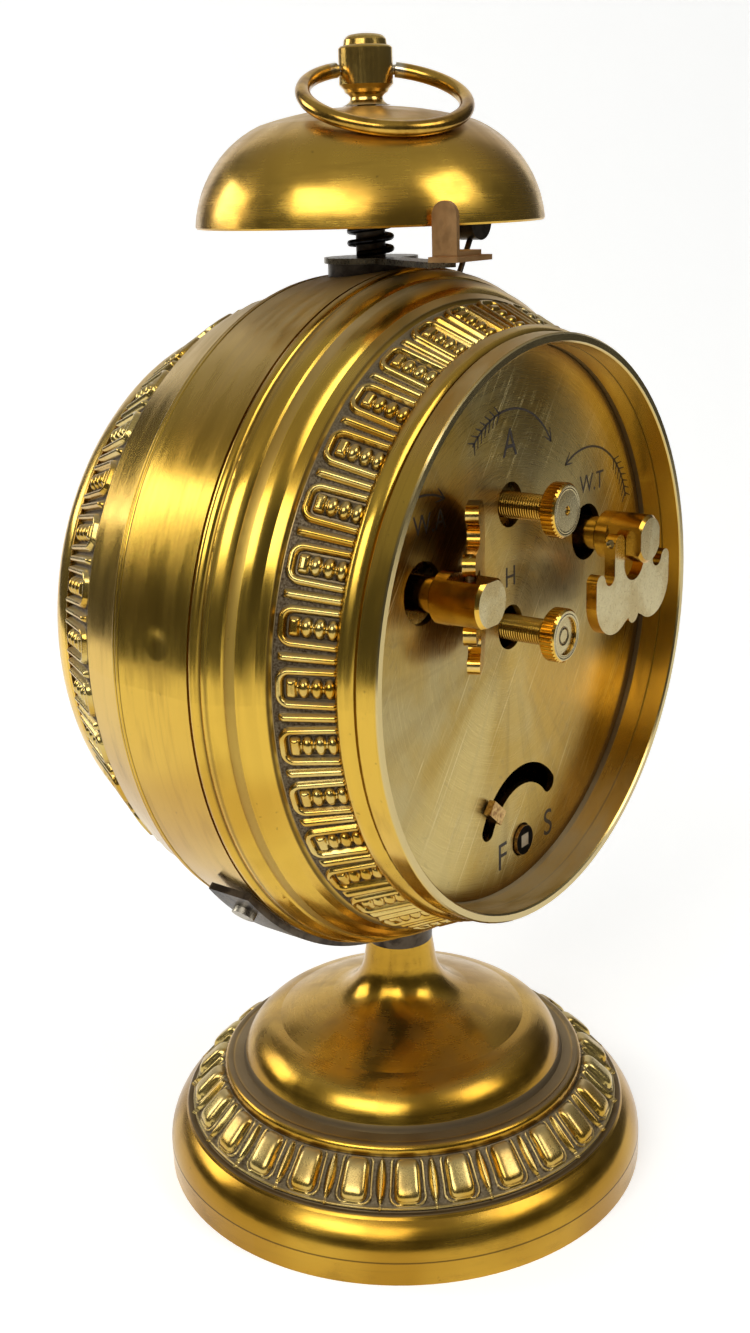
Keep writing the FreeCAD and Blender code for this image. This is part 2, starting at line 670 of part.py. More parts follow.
def make_saddle():
    outer = d.band_radius + d.strap_thickness
    sector = cylinder("strap_sector", outer, d.strap_rear - d.strap_front, 0.0, d.strap_rear,
                      d.drum_height, Vector(1, 0, 0), 90)
    bind(sector, "Angle", d.strap_half_angle * 2)
    start = -90 - d.strap_half_angle.value
    sector.Placement.Rotation = Rotation(Vector(1, 0, 0), 90) * Rotation(Vector(0, 0, 1), start)
    bore = along_y("strap_bore", d.band_radius, d.strap_front - 1, d.strap_rear + 1, 0.0, d.drum_height)
    stud_hole = cylinder("strap_stud_hole", d.stud_radius + d.running_gap, 20.0, 0.0, 0.0,
                         d.neck_height)
    screws = []
    holes = [bore, stud_hole]
    middle = (d.strap_front + d.strap_rear) / 2
    for side in (-1, 1):
        angle = side * d.strap_screw_angle.value
        turn = Rotation(Vector(0, 1, 0), 180 - angle)
        away = turn.multVec(Vector(0, 0, 1))
        parts = []
        for label, radius, inner, depth in (
            ("shank", d.strap_screw_radius * 0.5, d.band_radius - 3.0, 3.0 + d.strap_thickness.value),
            ("head", d.strap_screw_radius, d.band_radius + d.strap_thickness, 1.0),
        ):
            item = cylinder("strap_screw_%s" % label, radius, depth)
            spot = away * inner.value + Vector(0, middle.value, d.drum_height.value)
            item.Placement = Placement(spot, turn)
            parts.append(item)
        hole = cylinder("strap_hole", d.strap_screw_radius * 0.5, 8.0)
        hole.Placement = parts[0].Placement
        holes.append(hole)
        screws.append(joined("strap_screw_%s" % ("left" if side > 0 else "right"), parts))
    cut("saddle_strap", sector, joined("strap_holes", holes))
    grouped("strap_screws", screws)


# ---------------------------------------------------------------- drum

BEADS = 3


def drum_ornament(body, start, end):
    """Frames round rows of beads, with a bar between each two, on a sunk band of the drum."""
    length = math.hypot(end[0].value - start[0].value, end[1].value - start[1].value)
    reach = as_size(length) + d.motif_overrun
    near = d.frame_start
    middle = d.frame_half_width
    half = d.frame_line / 2
    slant = half * math.tan(math.radians(22.5))
    corner = d.frame_corner

    def frame(sketch):
        outer = [
            (reach, middle + half),
            (near + corner - slant, middle + half),
            (near - half, middle - corner + slant),
        ]
        inner = [
            (near + half, middle - corner - slant),
            (near + corner + slant, middle - half),
            (reach, middle - half),
        ]
        mirrored = [(x, -y) for x, y in reversed(outer)] + [(x, -y) for x, y in reversed(inner)]
        loop(sketch, outer + mirrored + inner)
        rectangle(sketch, d.block_start, d.block_start + d.block_length, d.bead_radius)
        for number in range(BEADS):
            ring(sketch, d.bead_radius, d.bead_start + d.bead_step * number, 0)

    def bar(sketch):
        wide = d.bar_half_width
        tip = d.bar_start
        full = tip + d.bar_tip
        loop(sketch, [(tip, 0), (full, -wide), (reach, -wide), (reach, wide), (full, wide)])

    half_step = 180.0 / d.drum_motifs.value
    for turn, draw in ((0.0, frame), (half_step, bar)):
        cast_motifs(body, "XY_Plane", start, end, -(d.motif_bearing.value + turn), d.drum_motifs,
                    draw, d.frame_relief)


def make_drum():
    wall = d.case_wall
    floor_radius = d.rear_band_radius - d.ornament_depth * 0.9
    turned("case_band_tube", "XY_Plane", [
        (d.band_front_radius, d.band_front),
        (d.band_radius, d.band_rear),
        (d.band_radius - wall, d.band_rear),
        (d.band_front_radius - wall, d.band_front),
    ], z=d.drum_height)
    post_hole = cylinder("post_hole", d.post_radius + d.running_gap, 12.0, 0.0, d.bell_place,
                         d.drum_height + 50.0)
    stud_hole = cylinder("stud_hole", d.stud_radius + d.running_gap, 12.0, 0.0, 0.0,
                         d.drum_height - 62.0)
    hammer_slot = box("hammer_slot", 13.0, 2.6, 10.0, d.hammer_exit_across - 7.0,
                      d.hammer_place - 1.3, d.drum_height + 48.0)
    holes = [post_hole, stud_hole, hammer_slot]
    for side in (-1, 1):
        turn = Rotation(Vector(0, 1, 0), 180 - side * d.strap_screw_angle.value)
        away = turn.multVec(Vector(0, 0, 1))
        hole = cylinder("band_screw_hole", d.strap_screw_radius * 0.5, 8.0)
        middle = (d.strap_front + d.strap_rear) / 2
        spot = away * (d.band_radius.value - 4) + Vector(0, middle.value, d.drum_height.value)
        hole.Placement = Placement(spot, turn)
        holes.append(hole)
    cut("case_band", doc.getObject("case_band_tube"), joined("band_holes", holes))

    rear_start = (floor_radius, d.rear_band_start + 0.3)
    rear_end = (d.rear_band_end_radius - d.ornament_depth, d.rear_band_end - 0.2)
    rear = turned("rear_casting", "XY_Plane", [
        (d.band_radius - 0.4, d.band_rear),
        (d.band_radius - 0.1, d.band_rear + 0.3, 1.0),
        (d.band_radius - 0.5, d.band_rear + 1.8),
        (d.band_radius - 0.6, d.band_rear + 2.0, 3.2),
        (d.band_radius - 1.5, d.band_rear + 5.3),
        (d.band_radius - 1.9, d.band_rear + 5.5, 4.5),
        (d.rear_band_radius + 0.8, d.rear_band_start - 1.4),
        (d.rear_band_radius, d.rear_band_start),
        rear_start,
        rear_end,
        (d.rear_band_end_radius, d.rear_band_end, 1.9),
        (d.lip_radius - 0.5, d.lip_start),
        (d.lip_radius, d.lip_start + d.edge_ease),
        (d.lip_radius, d.lip_end - d.edge_ease),
        (d.lip_radius - d.edge_ease, d.lip_end),
        (d.recess_radius + d.edge_ease, d.lip_end),
        (d.recess_radius, d.lip_end - d.edge_ease),
        (d.recess_radius, d.plate_face - d.plate_thickness),
        (d.recess_radius - 1.6, d.plate_face - d.plate_thickness),
        (d.recess_radius - 1.6, d.plate_face - d.plate_thickness - 1.2),
        (d.lip_radius, d.plate_face - d.plate_thickness - 1.2),
        (floor_radius - wall, d.rear_band_start + 0.2),
        (d.rear_band_radius - wall, d.rear_band_start - 2.0),
        (d.band_radius - 3.3, d.band_rear + 5.3),
        (d.band_radius - wall, d.band_rear),
    ], z=d.drum_height)
    drum_ornament(rear, rear_start, rear_end)

    front_floor = d.front_band_radius - d.ornament_depth
    front_start = (front_floor, d.front_band_start - 0.2)
    front_end = (d.front_band_end_radius + 0.1 - d.ornament_depth, d.front_band_end + 0.5)
    front = turned("front_casting", "XY_Plane", [
        (d.dial_radius + 0.1, d.front_band_end),
        (d.front_band_end_radius, d.front_band_end),
        (d.front_band_end_radius + 0.2, d.front_band_end + 0.3),
        front_end,
        front_start,
        (d.front_band_radius, d.front_band_start),
        (d.band_front_radius - 0.5, d.band_front - 1.6),
        (d.band_front_radius - 0.3, d.band_front - 1.5, 0.45),
        (d.band_front_radius - 0.15, d.band_front - 0.8, 0.45),
        (d.band_front_radius - 0.1, d.band_front),
        (d.band_front_radius - wall, d.band_front),
        (front_floor - wall, d.front_band_start - 0.2),
        (d.dial_radius + 4.2, d.dial_face + 2.6),
        (d.dial_opening, d.dial_face + 2.6),
        (d.dial_opening, d.dial_face + d.dial_thickness),
        (d.dial_radius + 0.1, d.dial_face + d.dial_thickness),
    ], z=d.drum_height)
    drum_ornament(front, front_start, front_end)

    groove_front = d.glass_seat - d.glass_thickness - 0.25
    turned("bezel", "XY_Plane", [
        (d.bezel_opening, d.bezel_front + 0.4),
        (d.bezel_opening + 0.5, d.bezel_front),
        (d.bezel_radius, d.bezel_front, 7.5),
        (d.front_band_end_radius - 0.3, d.front_band_end - 0.8),
        (d.front_band_end_radius - 0.3, d.front_band_end),
        (d.glass_radius - 1.0, d.front_band_end),
        (d.glass_radius - 1.0, d.glass_seat + 0.05),
        (d.glass_radius + 0.05, d.glass_seat + 0.05),
        (d.glass_radius + 0.05, groove_front),
        (d.bezel_opening, groove_front),
    ], z=d.drum_height)

    bulge = dome_bend(d.glass_radius, d.glass_rise)
    turned("glass", "XY_Plane", [
        (0, d.glass_seat - d.glass_thickness - d.glass_rise, bulge),
        (d.glass_radius, d.glass_seat - d.glass_thickness),
        (d.glass_radius, d.glass_seat, -bulge),
        (0, d.glass_seat - d.glass_rise),
    ], z=d.drum_height)


def make_dial():
    body = new_body("dial")

    def outline(sketch):
        ring(sketch, d.dial_radius, 0, 0)
        ring(sketch, 4.2, 0, 0)
        ring(sketch, d.arbor_radius + 0.4, 0, d.alarm_up)

    pad_between(body, outline, d.dial_face, d.dial_face + d.dial_thickness)
    put(body, z=d.drum_height)


def arc_slot(sketch, radius, width, first, last, across, up):
    """Outline of a curved slot with round ends."""
    outer = radius + width / 2
    inner = radius - width / 2
    cap = width * 0.52
    corners = []
    for distance, angle, bend in (
        (outer, first, outer), (outer, last, cap), (inner, last, -inner), (inner, first, cap),
    ):
        corners.append((across + distance * cosine(angle), up + distance * sine(angle), bend))
    loop(sketch, corners)


def make_back_plate():
    body = new_body("back_plate")
    inner_face = d.plate_face - d.plate_thickness

    def outline(sketch):
        ring(sketch, d.recess_radius - d.plate_clearance, 0, 0)
        ring(sketch, d.hand_hole_radius, 0, 0)
        ring(sketch, d.alarm_hole_radius, 0, d.alarm_up)
        ring(sketch, d.key_hole_radius, d.key_across, d.key_up)
        ring(sketch, d.key_hole_radius, -d.key_across, d.key_up)
        ring(sketch, d.regulator_hole_radius, d.balance_across, d.balance_up)

    def slot(sketch):
        arc_slot(sketch, d.slot_radius, d.slot_width, d.slot_first, d.slot_last,
                 d.balance_across, d.balance_up)

    pad_between(body, outline, inner_face, d.plate_face)
    cut_between(body, slot, inner_face - 0.5, d.plate_face + 0.5)
    put(body, z=d.drum_height)


# ---------------------------------------------------------------- winding keys and setting knobs

def make_key(side, across, turn):
    """Winding arbor with its ratchet, the key's barrel, hinge pin and folding bow."""
    centre = d.drum_height + d.key_up
    shaft = along_y(side + "_arbor_shaft", d.winding_arbor_radius, d.front_plate_place, 26.0,
                    across, centre)
    ratchet = gear(side + "_ratchet", d.ratchet_teeth, d.ratchet_module, d.ratchet_place,
                   d.ratchet_place + d.ratchet_width, across, d.key_up)
    joined(side + "_arbor", [shaft, ratchet])

    turned(side + "_key_turned", "XY_Plane", [
        (d.winding_arbor_radius, d.plate_face - 4.5),
        (d.barrel_neck_radius, d.plate_face - 4.5),
        (d.barrel_neck_radius, d.barrel_step - 0.4),
        (d.barrel_radius - d.edge_ease, d.barrel_step),
        (d.barrel_radius, d.barrel_step + d.edge_ease),
        (d.barrel_radius, d.barrel_end - 0.5),
        (d.barrel_radius - 0.5, d.barrel_end),
        (0, d.barrel_end),
        (0, 26.0),
        (d.winding_arbor_radius, 26.0),
    ], x=across, z=centre)
    spin = Placement(Vector(0, 0, 0), Rotation(Vector(0, 1, 0), turn))
    hub = Placement(Vector(across.value, 0, centre.value), Rotation())
    cutters = []
    for sign in (-1, 1):
        flat = box(side + "_flat", 4.0, 12.0, 12.0)
        offset = d.barrel_flat.value if sign > 0 else -d.barrel_flat.value - 4.0
        flat.Placement = hub * spin * Placement(Vector(offset, 30.9, -6.0), Rotation())
        cutters.append(flat)
    to_x = Rotation(Vector(0, 1, 0), 90)
    pin_start = Vector(-d.bow_leg_outer.value + 0.6, d.key_pin_place.value, 0)
    pin_length = d.bow_leg_outer * 2 - 1.2
    bore = cylinder(side + "_pin_bore", d.key_pin_radius, pin_length)
    bore.Placement = hub * spin * Placement(pin_start, to_x)
    cutters.append(bore)
    cut(side + "_key_barrel", doc.getObject(side + "_key_turned"),
        joined(side + "_key_cutters", cutters))
    pin = cylinder(side + "_key_pin", d.key_pin_radius, pin_length)
    pin.Placement = bore.Placement


def make_bow(side, across, turn, lean):
    """Folding bow: legs on both sides of the barrel, rounded wings with a hooked end."""
    body = new_body(side + "_key_bow")
    tip = -(d.bow_drop - 10.0)
    leg = (d.bow_leg_outer - d.bow_leg_inner) / 2
    notch = -(d.bow_leg_inner + 1.0)

    def outline(sketch):
        loop(sketch, [
            (-d.bow_half_width, tip - 4.5, 6.5),
            (-3.2, 0.9 - d.bow_drop),
            (-1.8, 1.5 - d.bow_drop, 1.9),
            (1.8, 1.5 - d.bow_drop),
            (3.2, 0.9 - d.bow_drop, 6.5),
            (d.bow_half_width, tip - 4.5),
            (d.bow_half_width, tip, 1.55),
            (d.bow_half_width - 3.0, tip, -1.7),
            (d.bow_leg_outer, tip),
            (d.bow_leg_outer, 0.1, leg * 1.03),
            (d.bow_leg_inner, 0.1),
            (d.bow_leg_inner, notch, -d.bow_leg_inner * 1.02),
            (-d.bow_leg_inner, notch),
            (-d.bow_leg_inner, 0.1, leg * 1.03),
            (-d.bow_leg_outer, 0.1),
            (-d.bow_leg_outer, tip, -1.7),
            (3.0 - d.bow_half_width, tip, 1.55),
            (-d.bow_half_width, tip),
        ])

    pad_between(body, outline, -d.bow_thickness / 2, d.bow_thickness / 2)
    for sign in (-1, 1):
        plane = new_sketch(body, "YZ_Plane", 0.0)
        ring(plane, d.key_pin_radius + 0.05, 0, 0)
        hole = body.newObject("PartDesign::Pocket", body.Name + "_hole")
        hole.Profile = plane
        hole.Reversed = sign > 0
        bind(hole, "Length", d.bow_half_width)
    turned_by = Rotation(Vector(0, 0, 1), lean) * Rotation(Vector(0, 1, 0), turn)
    spot = Vector(across.value, d.key_pin_place.value, d.drum_height.value + d.key_up.value)
    body.Placement = Placement(spot, turned_by)
    body.setExpression("Placement.Base.x", across.text)
    body.setExpression("Placement.Base.y", d.key_pin_place.text)
    body.setExpression("Placement.Base.z", (d.drum_height + d.key_up).text)


def make_knob(name, up, end_radius):
    """Knurled knob whose head stands behind the back plate."""
    inner = d.knob_face - d.knob_thickness
    turned(name + "_head", "XY_Plane", [
        (d.arbor_radius, d.plate_face - 4.0),
        (d.knob_shank_radius, d.plate_face - 4.0),
        (d.knob_shank_radius, inner),
        (d.knob_radius - d.knob_chamfer, inner),
        (d.knob_radius, inner + d.knob_chamfer),
        (d.knob_radius, d.knob_face - d.knob_chamfer),
        (d.knob_radius - d.knob_chamfer, d.knob_face),
        (end_radius, d.knob_face),
        (end_radius, d.knob_face - d.knob_dish),
        (0, d.knob_face - d.knob_dish),
        (0, d.knob_face - d.arbor_sink),
        (d.arbor_radius, d.knob_face - d.arbor_sink),
    ], z=d.drum_height + up)
    count = 36
    cutters = []
    for number in range(count):
        angle = math.radians(number * 360.0 / count)
        notch = along_y(name + "_notch", 0.22, inner - 0.5, d.knob_face + 0.5,
                        d.knob_radius * math.cos(angle),
                        d.drum_height + up + d.knob_radius * math.sin(angle))
        cutters.append(notch)
    cut(name, doc.getObject(name + "_head"), joined(name + "_notches", cutters))


# ---------------------------------------------------------------- wheels

def gear(name, teeth, module, first, last, across, up, bearing=0.0, bore=None):
    """Toothed wheel between two planes, with one tooth that points along the bearing."""
    body = new_body(name)
    root = module * (teeth / 2 - 1.25)
    tip = module * (teeth / 2 + 1)

    def disc(sketch):
        ring(sketch, root, 0, 0)
        if bore is not None:
            ring(sketch, bore, 0, 0)

    def tooth(sketch):
        loop(sketch, [
            (root * 0.96, -module * 0.62),
            (tip, -module * 0.3),
            (tip, module * 0.3),
            (root * 0.96, module * 0.62),
        ])

    pad_between(body, disc, first, last)
    single = pad_between(body, tooth, first, last)
    pattern = body.newObject("PartDesign::PolarPattern", name + "_teeth")
    pattern.Originals = [single]
    pattern.Axis = (origin_feature(body, "Y_Axis"), [""])
    pattern.Angle = 360
    pattern.Occurrences = int(teeth.value)
    body.Tip = pattern
    pattern.setExpression("Occurrences", teeth.text)
    put(body, across, 0.0, d.drum_height + up)
    body.Placement.Rotation = Rotation(Vector(0, -1, 0), as_size(bearing).value)
    return body


def bearing_to(start, end):
    return math.degrees(math.atan2(end[1].value - start[1].value, end[0].value - start[0].value))


def away_from(start, distance, bearing):
    return (start[0] + distance * cosine(bearing), start[1] + distance * sine(bearing))


def gap_bearing(teeth, start, end):
    """Bearing for a wheel at start, so that a gap between its teeth faces the wheel at end."""
    return bearing_to(start, end) + 180.0 / teeth.value


def wheel_distance(module, large, small):
    return module * (large + small) / 2


CENTRE = (as_size(0), as_size(0))
TIME_WINDING = (-d.key_across, d.key_up)
ALARM_WINDING = (d.key_across, d.key_up)
third_distance = wheel_distance(d.centre_module, d.centre_teeth, d.third_leaves)
fourth_distance = wheel_distance(d.third_module, d.third_teeth, d.fourth_leaves)
escape_distance = wheel_distance(d.fourth_module, d.fourth_teeth, d.escape_leaves)
alarm_distance = wheel_distance(d.great_module, d.great_teeth, d.alarm_leaves)
THIRD = away_from(CENTRE, third_distance, d.third_bearing)
FOURTH = away_from(THIRD, fourth_distance, d.fourth_bearing)
ESCAPE = away_from(FOURTH, escape_distance, d.escape_bearing)
ALARM_SCAPE = away_from(ALARM_WINDING, alarm_distance, d.alarm_bearing)
BALANCE = (d.balance_across, d.balance_up)
LEVER = away_from(ESCAPE, d.lever_distance, bearing_to(ESCAPE, BALANCE))
INNER_FRONT = d.front_plate_place + d.movement_plate
INNER_REAR = d.rear_plate_place


def arbor(name, spot, radius=None, first=None, last=None):
    radius = d.train_arbor_radius if radius is None else radius
    first = d.front_plate_place + 0.2 if first is None else first
    last = d.rear_plate_place + d.movement_plate - 0.2 if last is None else last
    return along_y(name, radius, first, last, spot[0], d.drum_height + spot[1])


def scape_wheel(name, teeth, radius, first, last, spot):
    """Wheel with pointed teeth that lean to one side."""
    body = new_body(name)
    rim = radius * 0.72

    def disc(sketch):
        ring(sketch, rim, 0, 0)

    def tooth(sketch):
        loop(sketch, [(rim * 0.95, -0.5), (radius, 0.25), (radius, 0.45), (rim * 0.95, 0.7)])

    pad_between(body, disc, first, last)
    single = pad_between(body, tooth, first, last)
    pattern = body.newObject("PartDesign::PolarPattern", name + "_teeth")
    pattern.Originals = [single]
    pattern.Axis = (origin_feature(body, "Y_Axis"), [""])
    pattern.Angle = 360
    pattern.Occurrences = int(teeth.value)
    body.Tip = pattern
    pattern.setExpression("Occurrences", teeth.text)
    return put(body, spot[0], 0.0, d.drum_height + spot[1])


def make_train():
    great_bore = d.winding_arbor_radius + d.running_gap
    for side, spot, first, mate in (
        ("time", TIME_WINDING, d.time_great_place, CENTRE),
        ("alarm", ALARM_WINDING, d.alarm_great_place, ALARM_SCAPE),
    ):
        wheel = gear(side + "_great_ring", d.great_teeth, d.great_module, first,
                     first + d.great_width, *spot, bearing_to(spot, mate), great_bore)
        front = first - d.mainspring_width - 1.5
        x = spot[0]
        z = d.drum_height + spot[1]
        cup = tube_y(side + "_cup", d.barrel_cup_radius, d.barrel_cup_radius - 0.7, front, first + 0.5, x, z)
        cover = tube_y(side + "_cover", d.barrel_cup_radius, great_bore, front, front + 0.6, x, z)
        joined(side + "_spring_barrel", [wheel, cup, cover])

    tube_bore = d.arbor_radius + d.running_gap
    pinion = gear("centre_leaves_ring", d.centre_leaves, d.great_module, d.centre_leaves_place,
                  -d.centre_leaves_place, *CENTRE,
                  gap_bearing(d.centre_leaves, CENTRE, TIME_WINDING))
    tube = arbor("centre_tube", CENTRE, d.arbor_radius + 0.9, INNER_FRONT + 0.3, INNER_REAR - 0.3)
    bore = arbor("centre_bore", CENTRE, tube_bore, -20.0, 20.0)
    cut("centre_pinion", joined("centre_solid", [pinion, tube]), bore)
    gear("centre_wheel", d.centre_teeth, d.centre_module, d.centre_wheel_place,
         d.centre_wheel_place + d.wheel_width, *CENTRE, bearing_to(CENTRE, THIRD), d.arbor_radius + 0.9)

    joined("third_wheel", [
        gear("third_leaves_ring", d.third_leaves, d.centre_module, d.third_leaves_place,
             d.third_leaves_place + d.leaves_width, *THIRD, gap_bearing(d.third_leaves, THIRD, CENTRE)),
        gear("third_ring", d.third_teeth, d.third_module, d.third_wheel_place,
             d.third_wheel_place + d.wheel_width, *THIRD, bearing_to(THIRD, FOURTH)),
        arbor("third_arbor", THIRD),
    ])
    joined("fourth_wheel", [
        gear("fourth_leaves_ring", d.fourth_leaves, d.third_module, d.fourth_leaves_place,
             d.fourth_leaves_place + d.leaves_width, *FOURTH,
             gap_bearing(d.fourth_leaves, FOURTH, THIRD)),
        gear("fourth_ring", d.fourth_teeth, d.fourth_module, d.fourth_wheel_place,
             d.fourth_wheel_place + d.wheel_width, *FOURTH, bearing_to(FOURTH, ESCAPE)),
        arbor("fourth_arbor", FOURTH),
    ])
    joined("escape_wheel", [
        gear("escape_leaves_ring", d.escape_leaves, d.fourth_module, d.escape_leaves_place,
             d.escape_leaves_place + d.leaves_width, *ESCAPE,
             gap_bearing(d.escape_leaves, ESCAPE, FOURTH)),
        scape_wheel("escape_ring", d.escape_teeth, d.escape_radius, d.escape_wheel_place,
                    d.escape_wheel_place + d.wheel_width, ESCAPE),
        arbor("escape_arbor", ESCAPE, d.fine_arbor_radius),
    ])
    joined("alarm_scape_wheel", [
        gear("alarm_leaves_ring", d.alarm_leaves, d.great_module, d.alarm_leaves_place,
             d.alarm_leaves_place + d.alarm_leaves_width, *ALARM_SCAPE,
             gap_bearing(d.alarm_leaves, ALARM_SCAPE, ALARM_WINDING)),
        scape_wheel("alarm_scape_ring", d.escape_teeth, d.alarm_scape_radius, d.alarm_wheel_place,
                    d.alarm_wheel_place + d.balance_width, ALARM_SCAPE),
        arbor("alarm_scape_arbor", ALARM_SCAPE),
    ])


def make_clicks():
    """Clicks that hang on the rear plate and catch the ratchets."""
    clicks = []
    for side, spot in (("time", TIME_WINDING), ("alarm", ALARM_WINDING)):
        centre = d.drum_height + spot[1]
        post = along_y(side + "_click_post", d.train_arbor_radius, d.ratchet_place, INNER_REAR, spot[0],
                       centre - 9.2)
        arm = box(side + "_click_arm", 5.0, d.ratchet_width, 1.6, spot[0] - 1.0, d.ratchet_place,
                  centre - 10.0)
        clicks.append(joined(side + "_click", [post, arm]))
    grouped("clicks", clicks)


def make_escapement():
    """Pallet lever, balance with its hairspring, and the regulator."""
    to_wheel = bearing_to(LEVER, ESCAPE)
    body = new_body("lever_anchor")

    def anchor(sketch):
        loop(sketch, [
            (-4.0, -0.5), (-1.3, -0.9), (1.0, -1.1), (2.3, -4.3), (3.6, -4.6), (3.3, -3.4),
            (1.9, -0.5), (1.9, 0.5), (3.3, 3.4), (3.6, 4.6), (2.3, 4.3), (1.0, 1.1),
            (-1.3, 0.9), (-4.0, 0.5),
        ])

    pad_between(body, anchor, d.escape_wheel_place, d.escape_wheel_place + d.wheel_width)
    put(body, LEVER[0], 0.0, d.drum_height + LEVER[1])
    body.Placement.Rotation = Rotation(Vector(0, -1, 0), to_wheel)
    joined("pallet_lever", [
        body,
        arbor("lever_arbor", LEVER, d.fine_arbor_radius, last=d.lever_end),
    ])

    wheel = new_body("balance_rim")

    def rim(sketch):
        ring(sketch, d.balance_radius, 0, 0)
        ring(sketch, d.balance_radius - d.balance_rim, 0, 0)

    def spoke(sketch):
        rectangle(sketch, as_size(1.0), d.balance_radius - 1.0, d.spoke_half_width)

    def hub(sketch):
        ring(sketch, d.balance_rim, 0, 0)

    near = d.balance_place
    far = near + d.balance_width
    pad_between(wheel, hub, near, far)
    arm = pad_between(wheel, spoke, near, far)
    pattern = wheel.newObject("PartDesign::PolarPattern", "balance_spokes")
    pattern.Originals = [arm]
    pattern.Axis = (origin_feature(wheel, "Y_Axis"), [""])
    pattern.Angle = 360
    pattern.Occurrences = 3
    wheel.Tip = pattern
    pad_between(wheel, rim, near, far)
    put(wheel, BALANCE[0], 0.0, d.drum_height + BALANCE[1])
    joined("balance_wheel", [wheel, arbor("balance_staff", BALANCE, d.fine_arbor_radius)])

    coil = doc.addObject("Part::Spiral", "hairspring_curve")
    bind(coil, "Radius", d.hairspring_start)
    bind(coil, "Growth", d.hairspring_step)
    coil.SegmentLength = 0
    bind(coil, "Rotations", (d.hairspring_radius - d.hairspring_start) / d.hairspring_step)
    put(coil, BALANCE[0], d.hairspring_place, d.drum_height + BALANCE[1], Vector(1, 0, 0), 90)
    strip = doc.addObject("Part::Plane", "hairspring_strip")
    bind(strip, "Length", d.hairspring_strip)
    bind(strip, "Width", d.hairspring_width)
    put(strip, BALANCE[0] + d.hairspring_start, d.hairspring_place, d.drum_height + BALANCE[1])
    sweep = doc.addObject("Part::Sweep", "hairspring")
    sweep.Sections = [strip]
    sweep.Spine = (coil, ["Edge1"])
    sweep.Solid = True
    sweep.Frenet = True


def make_regulator():
    centre = d.drum_height + BALANCE[1]
    turn = Rotation(Vector(0, -1, 0), d.regulator_angle.value)
    base = Placement(Vector(BALANCE[0].value, 0, centre.value), turn)
    under = d.plate_face - d.plate_thickness - 2.0
    hub = along_y("regulator_hub", d.regulator_hole_radius - d.fit_gap, under, d.plate_face + 0.7,
                  BALANCE[0], centre)
    parts = [hub]
    for label, first, last, near, far in (
        ("arm", under, under + 1.0, 0.0, d.slot_radius.value + 1.0),
        ("lug", under, d.plate_face + 1.6, d.slot_radius.value - 1.0, d.slot_radius.value + 1.0),
        ("tip", d.plate_face + 0.4, d.plate_face + 1.6, d.slot_radius.value - 1.0, 15.6),
    ):
        item = box("regulator_" + label, far - near, as_size(last) - first, 2.6)
        item.Placement = base * Placement(Vector(near, as_size(first).value, -1.3), Rotation())
        parts.append(item)
    curb = cylinder("regulator_curb", 0.4, under - 10.4)
    spot = Vector(d.hairspring_radius.value + 0.6, under.value + 0.5, 0)
    curb.Placement = base * Placement(spot, Rotation(Vector(1, 0, 0), 90))
    parts.append(curb)
    joined("regulator", parts)


def make_movement_plates():
    spots = [
        (CENTRE, d.arbor_radius + d.running_gap),
        (TIME_WINDING, d.winding_arbor_radius + d.running_gap),
        (ALARM_WINDING, d.winding_arbor_radius + d.running_gap),
        (THIRD, d.train_arbor_radius + d.running_gap),
        (FOURTH, d.train_arbor_radius + d.running_gap),
        (ESCAPE, d.fine_arbor_radius + d.running_gap),
        (BALANCE, d.fine_arbor_radius + d.running_gap),
        (ALARM_SCAPE, d.train_arbor_radius + d.running_gap),
        ((as_size(0), d.alarm_up), d.arbor_radius + d.running_gap),
        ((d.hammer_arbor_across, d.hammer_arbor_up), d.train_arbor_radius + d.running_gap),
    ]
    for name, place in (
        ("movement_front_plate", d.front_plate_place),
        ("movement_rear_plate", d.rear_plate_place),
    ):
        body = new_body(name)

        at_front = name == "movement_front_plate"
        bored = spots + [(LEVER, d.fine_arbor_radius + d.running_gap)] if at_front else spots

        def outline(sketch):
            ring(sketch, d.movement_radius, 0, 0)
            for (across, up), radius in bored:
                ring(sketch, radius, 0 if across.value == 0 else across, 0 if up.value == 0 else up)

        pad_between(body, outline, place, place + d.movement_plate)
        if at_front:
            def post(sketch):
                ring(sketch, d.minute_post_radius, 0, -d.motion_distance)

            def lever_boss(sketch):
                ring(sketch, d.lever_boss_radius, *LEVER)
                ring(sketch, d.fine_arbor_radius + d.running_gap, *LEVER)

            pad_between(body, post, d.minute_post_end, place)
            pad_between(body, lever_boss, place + d.movement_plate, 0.0)
        else:
            def slot(sketch):
                arc_slot(sketch, d.hairspring_radius + 0.6, Size(1.6, "1.6"), d.slot_first - 8,
                         d.slot_last + 8, *BALANCE)

            cut_between(body, slot, place - 0.5, place + d.movement_plate + 0.5)
        put(body, z=d.drum_height)

    posts = []
    for number, angle in enumerate((72.0, 108.0, -28.0, -152.0)):
        spot = away_from(CENTRE, d.pillar_ring, angle)
        x = spot[0]
        z = d.drum_height + spot[1]
        between = along_y("pillar_%d" % number, d.pillar_radius, INNER_FRONT, INNER_REAR, x, z)
        behind = along_y("pillar_%d_rear" % number, d.pillar_radius, INNER_REAR + d.movement_plate,
                         d.plate_face - d.plate_thickness, x, z)
        ahead = along_y("dial_foot_%d" % number, 1.2, d.dial_face + d.dial_thickness,
                        d.front_plate_place, x, z)
        posts += [between, behind, ahead]
    grouped("pillars", posts)


